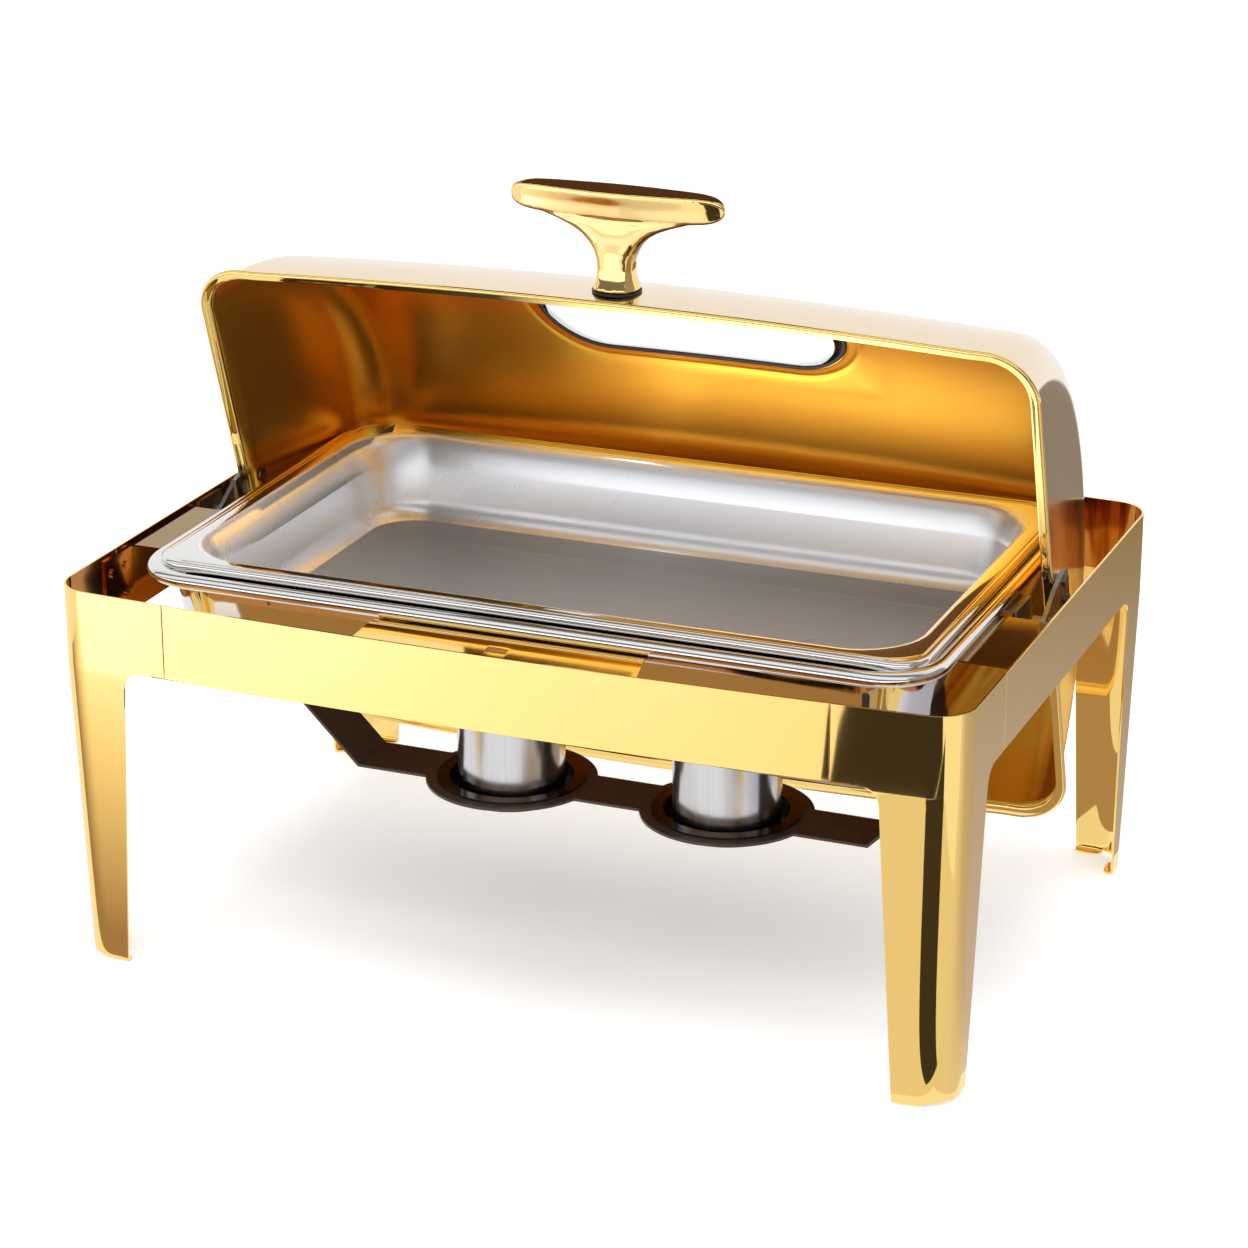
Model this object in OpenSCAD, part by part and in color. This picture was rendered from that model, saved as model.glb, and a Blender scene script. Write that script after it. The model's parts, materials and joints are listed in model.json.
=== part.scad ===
// Roll top chafer: a stand, a water pan, a food pan and a lid that rolls back about two side pivots.
// Millimetres. Floor at z = 0, front towards -Y, width along X. The lid rests open.

/* [Stand] */
// Outer width of the stand
stand_w = 622.7; // [500:0.1:800]
// Outer depth of the stand at its corners
stand_d = 432.3; // [300:0.1:600]
// Height of the stand's top edge above the floor
stand_h = 264; // [150:1:400]
// Height of the four rails
rail_h = 51; // [20:1:90]
// How far the front and rear rails bulge at the middle
rail_bow = 8; // [1:0.5:20]
// Outer corner radius of the legs
corner_r = 25; // [10:1:60]
// Sheet thickness of legs and rails
sheet = 1.5; // [0.8:0.1:4]
// Distance from a corner to the seam between leg and rail
seam = 85; // [60:1:150]
// Width of a leg flange just below the rail
leg_top_w = 53; // [30:1:80]
// Width of a leg flange at the floor
leg_foot_w = 36.6; // [20:1:80]
// How far the leg corner leans in at the floor
leg_lean = 5; // [0:0.5:20]
// Radius of the arch between leg and rail
arch_r = 12; // [4:1:30]
// Depth of the turned-in lip at the foot
foot_lip = 11; // [5:1:20]

/* [Pan supports] */
// Top of the support ledges below the stand's top edge
ledge_drop = 3; // [1:0.5:20]
// Half length of the front ledge
ledge_half = 100; // [40:5:180]
// Start of a side ledge, from the centre towards the front
side_ledge_y0 = 27; // [20:1:60]
// End of a side ledge, from the centre towards the front
side_ledge_y1 = 113; // [80:1:130]

/* [Pans] */
// Half width and half depth of the water pan's rolled rim
water_rim = [276, 179];
// Half width and half depth of the food pan's flange
food_rim = [265, 162.5];
// Half width and half depth of the food pan's opening
food_open = [252.5, 151];
// Depth of the food pan
food_depth = 65; // [20:1:100]
// Height of the food pan's flange above the stand's top edge
food_top = 8.6; // [4:0.1:20]
// Depth of the water pan's floor below the stand's top edge
water_depth = 90; // [60:1:120]

/* [Lid] */
// Depth of the lid's pivot below the stand's top edge
pivot_drop = 17.5; // [5:0.5:40]
// Distance from the pivot to the lid's rim plane
rim_offset = 29; // [10:0.5:60]
// Opening angle of the lid at rest
lid_open = 71.6; // [0:0.1:90]
// Half width of the lid at its rim
lid_half = 290; // [200:1:300]
// Roll radius at the lid's ends
lid_r_end = 186; // [150:0.5:220]
// Extra roll radius at the lid's middle
lid_bow = 8; // [0:0.5:20]
// Draft of the lid's side walls
lid_draft = 0.09; // [0:0.01:0.3]
// Bend radius between crown and side walls
lid_fillet = 30; // [10:1:50]
// Wall thickness of the lid
lid_wall = 1.2; // [0.8:0.1:4]
// Width of the bead that stands out around the rim
bead_w = 7; // [3:0.5:15]
// Height of the bead
bead_h = 3.5; // [2:0.5:10]

/* [Window] */
// Half width of the window
win_x = 113; // [60:1:180]
// Half height of the window
win_y = 52; // [20:1:80]
// Corner radius of the window
win_r = 44; // [10:1:50]
// Angle of the window's centre, from the top towards the front
win_angle = 30; // [10:1:60]

/* [Handle] */
// Half length of the handle's bar
handle_half = 75.5; // [40:0.5:120]
// Height of the handle above the lid
handle_h = 68; // [40:1:100]

/* [Fuel] */
// Distance of each burner from the centre
burner_x = 80; // [60:1:120]
// Depth of the bracket's strip below the stand's top edge
strip_drop = 180; // [150:1:200]
// Width of the bracket's strip
strip_w = 44; // [20:1:60]
// Outer radius of the bracket's rings
ring_r = 60; // [50:1:80]
// Radius of the holes in the rings
ring_hole = 45; // [30:1:50]
// Radius of a fuel cup
cup_r = 37.5; // [25:0.5:44]
// Height of a fuel cup
cup_h = 77; // [40:1:90]

/* [Output] */
// Node to build

/* [Hidden] */
$fa = 6;
$fs = 1;
e = 0.01;
hx = stand_w / 2;
hy = stand_d / 2 + rail_bow;
arc_half = hx - corner_r;
arc_r = (arc_half * arc_half + rail_bow * rail_bow) / (2 * rail_bow);
arc_y = hy - arc_r;
arc_a = asin(arc_half / (arc_r - corner_r));
corner_y = arc_y + (arc_r - corner_r) * cos(arc_a);
arc_n = 24;
seam_i = round(arc_n * (hx - seam) / arc_half);
seam_x = arc_r * sin(arc_a * seam_i / arc_n);
seam_y = stand_d / 2 - seam;
pivot_z = stand_h - pivot_drop;
x_end = 275;
ledge_z = -ledge_drop;
gold = [0.93, 0.72, 0.36];
dark_gold = [0.30, 0.20, 0.13];
steel = [0.80, 0.81, 0.82];
dark = [0.08, 0.08, 0.08];

function rev(l) = [for (i = [len(l) - 1:-1:0]) l[i]];
function flip(l, sx, sy) = [for (p = l) [p[0] * sx, p[1] * sy]];
function part_of(l, a, b) = [for (i = [a:b]) l[i]];

// ---- stand plan: two bowed sides, two straight sides, four round corners
function quarter(t) = concat(
    [for (i = [0:arc_n - 1]) let (a = arc_a * i / arc_n) [(arc_r - t) * sin(a), arc_y + (arc_r - t) * cos(a)]],
    [for (i = [0:10]) let (b = (90 - arc_a) * (1 - i / 10))
        [arc_half + (corner_r - t) * cos(b), corner_y + (corner_r - t) * sin(b)]]);
function outline(t) = let (q = quarter(t), n = len(q)) concat(
    q, rev(flip(q, 1, -1)), part_of(flip(q, -1, -1), 1, n - 1), part_of(rev(flip(q, -1, 1)), 0, n - 2));

module band(t0, t1) {
    difference() {
        polygon(outline(t0));
        polygon(outline(t1));
    }
}

// Removes the sheet beside one leg flange, with the arch at the top
module leg_cut(half, lo, hi) {
    top = half - leg_top_w;
    foot = half - leg_foot_w - leg_lean;
    pts = concat(
        [[-top + 80, -rail_h]],
        [for (i = [0:6]) let (a = 90 + 15 * i)
            [-top + arch_r + arch_r * cos(a), -rail_h - arch_r + arch_r * sin(a)]],
        [[-foot, -stand_h - 2], [-top + 80, -stand_h - 2]]);
    rotate([90, 0, 0]) translate([0, 0, lo]) linear_extrude(hi - lo) polygon(pts);
}

module foot_tab(len) {
    r = foot_lip / 2;
    linear_extrude(sheet) polygon(concat([[0, 0], [len - 1, 0]],
        [for (i = [0:5]) let (a = 18 * i) [len - r + r * cos(a), r + r * sin(a)]],
        [for (i = [0:5]) let (a = 90 + 18 * i) [r + r * cos(a), r + r * sin(a)]]));
}

// Front left leg: one path at the top and below the rail, moved inwards at the floor
function leg_path(t) = let (q = quarter(t)) flip(concat(part_of(q, seam_i, len(q) - 1), [[hx - t, seam_y]]), -1, -1);
function leg_rows(t) = let (p = leg_path(t)) [for (r = [[0, 0], [0, -rail_h - 4], [leg_lean, 0.4 - stand_h]])
    [for (v = p) [v[0] + r[0], v[1] + r[0], r[1]]]];
module leg_blank() {
    difference() {
        shell_from(leg_rows(sheet), leg_rows(0));
        leg_cut(hx, 190, 250);
        rotate([0, 0, -90]) mirror([1, 0, 0]) leg_cut(stand_d / 2, 300, 320);
    }
    translate([-hx + 14, -stand_d / 2 + leg_lean + 0.45, -stand_h]) foot_tab(24);
    translate([-hx + leg_lean + 0.75, -stand_d / 2 + 14, -stand_h]) mirror([1, -1, 0]) foot_tab(24);
}

module leg_front_left() { color(gold) translate([0, 0, stand_h]) leg_blank(); }
module leg_front_right() { color(gold) translate([0, 0, stand_h]) mirror([1, 0, 0]) leg_blank(); }
module leg_rear_left() { color(gold) translate([0, 0, stand_h]) mirror([0, 1, 0]) leg_blank(); }
module leg_rear_right() {
    color(gold) translate([0, 0, stand_h]) mirror([1, 0, 0]) mirror([0, 1, 0]) leg_blank();
}

// ---- rails, with a 0.4 mm seam to each leg
module long_rail() {
    translate([0, 0, -rail_h]) linear_extrude(rail_h) intersection() {
        band(0, sheet);
        translate([-seam_x + 0.4, -hy - 5]) square([2 * seam_x - 0.8, 40]);
    }
}
module short_rail() {
    translate([-hx, -seam_y + 0.4, -rail_h]) cube([sheet, 2 * seam_y - 0.8, rail_h]);
}
module rail_front() { color(gold) translate([0, 0, stand_h]) long_rail(); }
module rail_rear() { color(gold) translate([0, 0, stand_h]) mirror([0, 1, 0]) long_rail(); }
module rail_left() { color(gold) translate([0, 0, stand_h]) short_rail(); }
module rail_right() { color(gold) translate([0, 0, stand_h]) mirror([1, 0, 0]) short_rail(); }

// ---- plates behind the eight seams, each with two screw heads
module splice_pair() {
    translate([0, 0, -rail_h + 4]) linear_extrude(rail_h - 8) intersection() {
        band(sheet, 2 * sheet);
        translate([-seam_x - 18, -hy - 5]) square([36, 40]);
    }
    for (z = [-15, -36]) for (dx = [-9, 9])
        translate([-seam_x + dx, -hy + rail_bow * pow(seam_x / arc_half, 2) + 2 * sheet - 0.4, z])
            rotate([-90, 0, 0]) cylinder(r = 3, h = 1.8);
    translate([-hx + sheet, -seam_y - 18, -rail_h + 4]) cube([sheet, 36, rail_h - 8]);
    for (z = [-15, -36]) for (dy = [-9, 9])
        translate([-hx + 2 * sheet - e, -seam_y + dy, z]) rotate([0, 90, 0]) cylinder(r = 3, h = 1.4);
}
module splice_plates() {
    color(gold) translate([0, 0, stand_h]) {
        splice_pair();
        mirror([1, 0, 0]) splice_pair();
        mirror([0, 1, 0]) splice_pair();
        mirror([1, 0, 0]) mirror([0, 1, 0]) splice_pair();
    }
}

// ---- ledges that carry the water pan's rim
module ledge_front() {
    color(gold) translate([0, 0, stand_h]) {
        translate([0, 0, -30]) linear_extrude(30 - ledge_drop) intersection() {
            band(sheet, 2 * sheet);
            translate([-ledge_half, -hy - 5]) square([2 * ledge_half, 40]);
        }
        translate([0, 0, ledge_z - sheet]) linear_extrude(sheet) difference() {
            intersection() {
                polygon(outline(sheet));
                translate([-ledge_half, -hy - 5]) square([2 * ledge_half, hy + 5 - 168]);
            }
            translate([-7, -202]) square([14, 5]);
        }
    }
}
module side_ledge() {
    translate([-hx + sheet, -side_ledge_y1, -30])
        cube([sheet, side_ledge_y1 - side_ledge_y0, 30 - ledge_drop]);
    translate([-hx + sheet, -side_ledge_y1, ledge_z - sheet])
        cube([hx - sheet - 268, side_ledge_y1 - side_ledge_y0, sheet]);
}
module ledge_left() { color(gold) translate([0, 0, stand_h]) side_ledge(); }
module ledge_right() { color(gold) translate([0, 0, stand_h]) mirror([1, 0, 0]) side_ledge(); }

// ---- fork on the stand that holds the pivot and also carries the pan's rim
module fork() {
    difference() {
        union() {
            translate([-hx + sheet, -16, -35]) cube([sheet, 32, 35 - ledge_drop]);
            translate([-hx + sheet, -16, -35]) cube([hx - sheet - 282, 32, sheet]);
            translate([-283.5, -16, -35]) cube([sheet, 32, 35 - ledge_drop]);
            translate([-283.5, -16, ledge_z - sheet]) cube([15.5, 32, sheet]);
        }
        translate([-hx - 1, 0, -pivot_drop]) rotate([0, 90, 0]) cylinder(r = 4, h = 40);
    }
}
module hinge_bracket_left() { color(steel) translate([0, 0, stand_h]) fork(); }
module hinge_bracket_right() { color(steel) translate([0, 0, stand_h]) mirror([1, 0, 0]) fork(); }

module hex_nut(af, h) {
    intersection() {
        cylinder(r = af * 0.56, h = h);
        linear_extrude(h) polygon([for (i = [0:5]) [af / sqrt(3) * cos(60 * i), af / sqrt(3) * sin(60 * i)]]);
    }
}
module pivot_bolt() {
    translate([-hx + sheet, 0, -pivot_drop]) rotate([0, 90, 0]) {
        cylinder(r = 4, h = hx - sheet - 275);
        translate([0, 0, 2]) hex_nut(13, 6.5);
        translate([0, 0, 8.5]) cylinder(r = 7.5, h = 1);
        translate([0, 0, 13.25]) cylinder(r = 7.5, h = 1);
        translate([0, 0, 14.25]) hex_nut(13, 6);
        translate([0, 0, hx - sheet - 282]) hex_nut(13, 5.5);
    }
}
module hinge_pin_left() { color(dark) translate([0, 0, stand_h]) pivot_bolt(); }
module hinge_pin_right() { color(dark) translate([0, 0, stand_h]) mirror([1, 0, 0]) pivot_bolt(); }

// ---- fuel bracket: one bent strip with two rings
strip_t = 2;
strip_path = [[-304, -36], [-285, -36], [-285, -84], [-188, -strip_drop - 1],
              [188, -strip_drop - 1], [285, -84], [285, -36], [304, -36]];
function unit(v) = v / norm(v);
function left_of(v) = [-v[1], v[0]];
function side_pts(p, d) = let (n = len(p)) [for (i = [0:n - 1])
    let (a = unit(i == 0 ? p[1] - p[0] : p[i] - p[i - 1]),
         b = unit(i == n - 1 ? p[n - 1] - p[n - 2] : p[i + 1] - p[i]),
         m = unit(left_of(a) + left_of(b)))
    p[i] + m * d / (m * left_of(a))];

module fuel_bracket() {
    color(dark_gold) translate([0, 0, stand_h]) difference() {
        union() {
            rotate([90, 0, 0]) translate([0, 0, -strip_w / 2]) linear_extrude(strip_w)
                polygon(concat(side_pts(strip_path, strip_t / 2), rev(side_pts(strip_path, -strip_t / 2))));
            for (s = [-1, 1]) translate([s * burner_x, 0, -strip_drop - strip_t])
                cylinder(r = ring_r, h = strip_t);
        }
        for (s = [-1, 1]) translate([s * burner_x, 0, -strip_drop - 5]) cylinder(r = ring_hole, h = 10);
        for (s = [-1, 1]) for (y = [-11, 11]) translate([s * 294.5, y, -40]) cylinder(r = 2.5, h = 10);
    }
}

// Screws that hold the strip under the forks
module bracket_screws() {
    color(dark) translate([0, 0, stand_h]) for (s = [-1, 1]) for (y = [-11, 11])
        translate([s * 294.5, y, 0]) {
            translate([0, 0, -37]) cylinder(r = 2.5, h = 2);
            translate([0, 0, -39.5]) cylinder(r = 5, h = 2.5);
        }
}

// Dish with a flange that hangs in a ring
module holder(s) {
    translate([s * burner_x, 0, stand_h - strip_drop]) rotate_extrude()
        polygon([[0, -12], [36, -12], [41, -10.6], [43.9, -6], [44.7, 0], [52, 0], [52, 1.4], [43.4, 1.4],
                 [42.5, -5.6], [40.2, -9.5], [35.6, -10.8], [0, -10.8]]);
}
module fuel_holder_left() { color(steel) holder(-1); }
module fuel_holder_right() { color(steel) holder(1); }

cup_z = stand_h - strip_drop - 10.5;
module cup(s) {
    translate([s * burner_x, 0, cup_z]) {
        rotate_extrude() polygon([[0, 0], [33.5, 0], [35, 1.2], [35, 4], [cup_r, 6], [cup_r, cup_h - 2.4],
            [cup_r - 1, cup_h - 1.2], [cup_r - 2.4, cup_h - 1.2], [cup_r - 1.2, cup_h - 3], [cup_r - 1.2, 6.8],
            [33.8, 4.8], [33.8, 1.8], [33, 1.2], [0, 1.2]]);
    }
}
module fuel_cup_left() { color(steel) cup(-1); }
module fuel_cup_right() { color(steel) cup(1); }

module cup_cap(s) {
    translate([s * burner_x, 0, cup_z + cup_h - 1.2]) {
        rotate_extrude() polygon([[16, 0], [cup_r - 1.6, 0], [cup_r, 0.2], [cup_r, 1.2], [16, 1.2]]);
        translate([0, 27, 1.1]) cylinder(r = 2, h = 3.3);
        translate([0, 27, 3.2]) cylinder(r = 3.4, h = 1.2);
    }
}
module fuel_cap_left() { color(steel) cup_cap(-1); }
module fuel_cap_right() { color(steel) cup_cap(1); }

module damper(s) {
    translate([s * burner_x, 0, cup_z + cup_h + 0.35]) linear_extrude(1.2) difference() {
        union() {
            circle(r = 19);
            translate([-5, 0]) square([10, 31]);
            translate([0, 27]) circle(r = 6);
            translate([-4, -34]) square([8, 20]);
        }
        translate([0, 27]) circle(r = 2.05);
    }
}
module damper_left() { color(dark) damper(-1); }
module damper_right() { color(dark) damper(1); }

// ---- pans: stacked rounded rectangles [half x, half y, corner radius, z]
pan_n = 7;
function ring_pts(q) = [for (c = [0:3]) for (i = [0:pan_n]) let (a = 90 * c + 90 * i / pan_n,
    sx = (c == 0 || c == 3) ? 1 : -1, sy = c < 2 ? 1 : -1)
    [sx * (q[0] - q[2]) + q[2] * cos(a), sy * (q[1] - q[2]) + q[2] * sin(a), q[3]]];
module stack(rings) {
    m = 4 * (pan_n + 1);
    k = len(rings);
    pts = [for (r = rings) each ring_pts(r)];
    faces = concat([[for (i = [0:m - 1]) i]],
        [for (j = [0:k - 2]) for (i = [0:m - 1]) let (n = (i + 1) % m)
            each [[j * m + i, (j + 1) * m + i, (j + 1) * m + n], [j * m + i, (j + 1) * m + n, j * m + n]]],
        [[for (i = [m - 1:-1:0]) (k - 1) * m + i]]);
    polyhedron(points = pts, faces = faces, convexity = 6);
}
wx = water_rim[0];
wy = water_rim[1];
fx = food_open[0];
fy = food_open[1];
gx = food_rim[0];
gy = food_rim[1];
water_rings = concat(
    [for (i = [0:5]) let (a = 90 * i / 5) [wx - 53 + 22 * sin(a), wy - 51 + 22 * sin(a),
        22 + 16 * sin(a), -water_depth + 22 - 22 * cos(a)]],
    [[wx - 17, wy - 15.5, 44, -3], [wx - 8, wy - 8, 42, -2.2], [wx - 6, wy - 6, 42, -3],
     [wx - 2.5, wy - 2.5, 44, -3], [wx, wy, 45, -0.5], [wx, wy, 45, 2.8], [wx - 2, wy - 2, 43, 5],
     [wx - 5.5, wy - 5.5, 40, 5], [wx - 7.5, wy - 7.5, 38, 2.6], [wx - 9, wy - 9, 37, 1.6],
     [wx - 17.5, wy - 16, 43, 1], [wx - 18.6, wy - 17, 43, -3]],
    [for (i = [5:-1:0]) let (a = 90 * i / 5) [wx - 53.4 + 20.8 * sin(a), wy - 51.4 + 20.8 * sin(a),
        21 + 15.8 * sin(a), -water_depth + 22 - 20.8 * cos(a)]]);
module water_pan() { color(steel) translate([0, 0, stand_h]) stack(water_rings); }

food_floor = food_top - food_depth;
food_rings = concat(
    [[fx - 52, fy - 52, 18, food_floor - 2.2], [fx - 44, fy - 44, 24, food_floor - 2.2],
     [fx - 41, fy - 41, 26, food_floor - 1]],
    [for (i = [1:5]) let (a = 90 * i / 5) [fx - 37 + 26 * sin(a), fy - 37 + 26 * sin(a),
        28 + 14 * sin(a), food_floor + 25 - 26 * cos(a)]],
    [[fx - 3.2, fy - 3.2, 45, food_top - 6], [fx + 0.3, fy + 0.3, 47, food_top - 2.4],
     [fx + 2.6, fy + 2.4, 46, food_top - 1.2], [gx - 5.4, gy - 4.6, 24, food_top - 1.2], [gx - 3.4, gy - 3.4, 22, food_top - 3],
     [gx - 3, gy - 3, 22, 1.8], [gx - 0.6, gy - 0.6, 22, 1.8], [gx, gy, 22, 4], [gx, gy, 22, food_top - 2.4],
     [gx - 1.6, gy - 1.6, 21, food_top - 0.4], [gx - 3.4, gy - 3.4, 20, food_top],
     [gx - 5.6, gy - 5, 21, food_top], [fx + 3.4, fy + 3.2, 46, food_top], [fx, fy, 46.5, food_top - 2],
     [fx - 4, fy - 4, 44.5, food_top - 6]],
    [for (i = [5:-1:1]) let (a = 90 * i / 5) [fx - 37 + 25 * sin(a), fy - 37 + 25 * sin(a),
        27 + 14 * sin(a), food_floor + 25 - 25 * cos(a)]],
    [[fx - 41, fy - 41, 25, food_floor], [fx - 44.5, fy - 44.5, 23, food_floor - 1.2],
     [fx - 53, fy - 53, 17, food_floor - 1.2]]);
module food_pan() { color(steel) translate([0, 0, stand_h]) stack(food_rings); }

// ---- lid, drawn closed about the pivot, then turned open
module lid_place() { translate([0, 0, pivot_z]) rotate([-lid_open, 0, 0]) children(); }
function roll_r(x) = lid_r_end + lid_bow * (1 - pow(x / x_end, 2));
function wall_x(r, a) = lid_half - lid_draft * (r * cos(a) - rim_offset);
fil_r0 = roll_r(lid_half - lid_fillet - 10) - lid_fillet;
function fil_x(a) = wall_x(fil_r0, a) - lid_fillet;
function fil_r(a) = roll_r(fil_x(a)) - lid_fillet;
function half_section(a, t) = let (xc = fil_x(a), rc = fil_r(a),
    lo = min((rim_offset - 4) / cos(a), rc - 0.6)) concat(
    [for (i = [0:1]) let (r = lo + (rc - lo) * i / 2) [wall_x(r, a) - t, r]],
    [for (i = [0:5]) let (b = 18 * i) [xc + (lid_fillet - t) * cos(b), rc + (lid_fillet - t) * sin(b)]],
    [for (i = [1:5]) let (x = xc * (1 - i / 5)) [x, roll_r(x) - t]]);
function section(a, t) = let (h = half_section(a, t), n = len(h))
    concat(h, part_of(rev(flip(h, -1, 1)), 1, n - 1));
function spin(s, a) = [for (p = s) [p[0], p[1] * sin(a), p[1] * cos(a)]];

// Solid between two grids of points, outer first
module shell_from(outer, inner) {
    ni = len(outer);
    nj = len(outer[0]);
    nn = ni * nj;
    pts = concat([for (r = outer) each r], [for (r = inner) each r]);
    function q(a, b, c, d) = [[a, b, c], [a, c, d]];
    faces = concat(
        [for (i = [0:ni - 2]) for (j = [0:nj - 2]) let (a = i * nj + j, b = a + 1, c = a + nj + 1, d = a + nj)
            each q(a, b, c, d)],
        [for (i = [0:ni - 2]) for (j = [0:nj - 2]) let (a = nn + i * nj + j, b = a + 1, c = a + nj + 1, d = a + nj)
            each q(d, c, b, a)],
        [for (i = [0:ni - 2]) let (a = i * nj, d = a + nj) each q(a, d, nn + d, nn + a)],
        [for (i = [0:ni - 2]) let (a = i * nj + nj - 1, d = a + nj) each q(d, a, nn + a, nn + d)],
        [for (j = [0:nj - 2]) each q(j + 1, j, nn + j, nn + j + 1)],
        [for (j = [0:nj - 2]) let (a = (ni - 1) * nj + j) each q(a, a + 1, nn + a + 1, nn + a)]);
    polyhedron(points = pts, faces = faces, convexity = 6);
}
lid_rows = [for (i = [0:24]) -84 + 7 * i];
module dome(t0, t1) {
    shell_from([for (a = lid_rows) spin(section(a, t0), a)], [for (a = lid_rows) spin(section(a, t1), a)]);
}
module patch(t0, t1) {
    rows = [for (i = [0:10]) -win_angle - 20 + 4 * i];
    xs = [for (i = [0:10]) win_x + 12 - (win_x + 12) * i / 5];
    shell_from([for (a = rows) spin([for (x = xs) [x, roll_r(x) - t0]], a)],
               [for (a = rows) spin([for (x = xs) [x, roll_r(x) - t1]], a)]);
}
module window_block(inset) {
    rotate([win_angle, 0, 0]) translate([0, 0, 165]) linear_extrude(50) {
        r = win_r - inset;
        for (sx = [-1, 1]) for (sy = [-1, 1]) translate([sx * (win_x - win_r), sy * (win_y - win_r)]) circle(r = r);
        square([2 * (win_x - inset), 2 * (win_y - win_r)], center = true);
        square([2 * (win_x - win_r), 2 * (win_y - inset)], center = true);
    }
}
rivet_y = [-8, 8];
rivet_z = rim_offset + 12;
module lid_shell() {
    color(gold) lid_place() difference() {
        dome(0, lid_wall);
        translate([-350, -250, rim_offset - 200]) cube([700, 500, 200]);
        window_block(0);
        rotate([lid_open, 0, 0]) translate([0, 0, 180]) cylinder(r = 3, h = 20);
        for (s = [-1, 1]) for (y = rivet_y) translate([s * 280, y, rivet_z])
            rotate([0, s * 90, 0]) cylinder(r = 2.5, h = 20);
    }
}

// Rim line of the lid in its rim plane, from the side's middle to the front's middle, all four quarters
function rim_quarter() = let (cz = rim_offset) concat(
    [[lid_half, 0], [lid_half, 75]],
    [for (i = [0:6]) let (b = 15 * i, r = fil_r0 + lid_fillet * sin(b), a = acos(cz / r), xc = fil_x(a))
        [xc + lid_fillet * cos(b), sqrt(r * r - cz * cz)]],
    [for (i = [1:7]) let (x = 260 * (1 - i / 7)) [x, sqrt(pow(roll_r(x), 2) - cz * cz)]]);
function rim_line() = let (q = rim_quarter(), n = len(q)) concat(
    q, part_of(rev(flip(q, -1, 1)), 1, n - 1), part_of(flip(q, -1, -1), 1, n - 1),
    part_of(rev(flip(q, 1, -1)), 1, n - 2));
bead_section = [[-lid_wall, 0], [-lid_wall, -bead_h + 0.6], [-0.5, -bead_h], [bead_w - 1.2, -bead_h],
                [bead_w, -bead_h + 1], [bead_w, -0.9], [bead_w - 1, 0]];
module lid_bead() {
    line = rim_line();
    n = len(line);
    m = len(bead_section);
    pts = [for (i = [0:n - 1]) let (a = unit(line[i] - line[(i + n - 1) % n]), b = unit(line[(i + 1) % n] - line[i]),
            v = unit(-left_of(a) - left_of(b)), g = 1 / (v * -left_of(a)))
        for (s = bead_section) [line[i][0] + v[0] * g * s[0], line[i][1] + v[1] * g * s[0], rim_offset + s[1]]];
    faces = [for (i = [0:n - 1]) for (j = [0:m - 1])
        let (a = i * m + j, b = i * m + (j + 1) % m, k = (i + 1) % n, c = k * m + (j + 1) % m, d = k * m + j)
        each [[a, b, c], [a, c, d]]];
    color(gold) lid_place() polyhedron(points = pts, faces = faces, convexity = 8);
}
module window_glass() {
    color([0.8, 0.9, 0.9, 0.4]) lid_place() intersection() { patch(-0.6, 2.4); window_block(3); }
}
module window_gasket() {
    color(dark) lid_place() intersection() {
        patch(-1.4, 3.2);
        difference() { window_block(0); window_block(3); }
    }
}

// Cast handle: a front outline cut by a side outline
handle_front = [[15.5, 0], [15.2, 3], [13.6, 8], [12.8, 16], [13.4, 23], [15.6, 30], [20, 36.5], [27, 42], [37, 46],
                [50, 48.6], [66, 49.8], [71.5, 51.6], [74.8, 55.6], [75.5, 60], [74, 64.6], [70.6, 67.4], [67, 68]];
handle_side = [[15.5, 0], [15.2, 3], [13, 8], [11, 18], [9.6, 30], [9, 42], [9.2, 52], [9.2, 62], [8, 66.4], [6, 68]];
module handle() {
    top = roll_r(0) + 1.5;
    color(gold) lid_place() rotate([lid_open, 0, 0]) translate([0, 0, top]) difference() {
        scale([handle_half / 75.5, 1, handle_h / 68]) intersection() {
            rotate([90, 0, 0]) translate([0, 0, -20]) linear_extrude(40)
                polygon(concat(handle_front, rev(flip(handle_front, -1, 1))));
            rotate([90, 0, 90]) translate([0, 0, -90]) linear_extrude(180)
                polygon(concat(handle_side, rev(flip(handle_side, -1, 1))));
        }
        translate([0, 0, -1]) cylinder(r = 3, h = 15);
    }
}
module handle_washer() {
    color(dark) lid_place() rotate([lid_open, 0, 0]) translate([0, 0, roll_r(0)]) difference() {
        cylinder(r = 16.5, h = 1.5);
        translate([0, 0, -1]) cylinder(r = 3, h = 4);
    }
}
module handle_screw() {
    color(steel) lid_place() rotate([lid_open, 0, 0]) translate([0, 0, roll_r(0)]) {
        translate([0, 0, -5.2]) cylinder(r = 3, h = 19);
        translate([0, 0, -5.2]) cylinder(r = 6, h = 3.4);
    }
}

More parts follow.
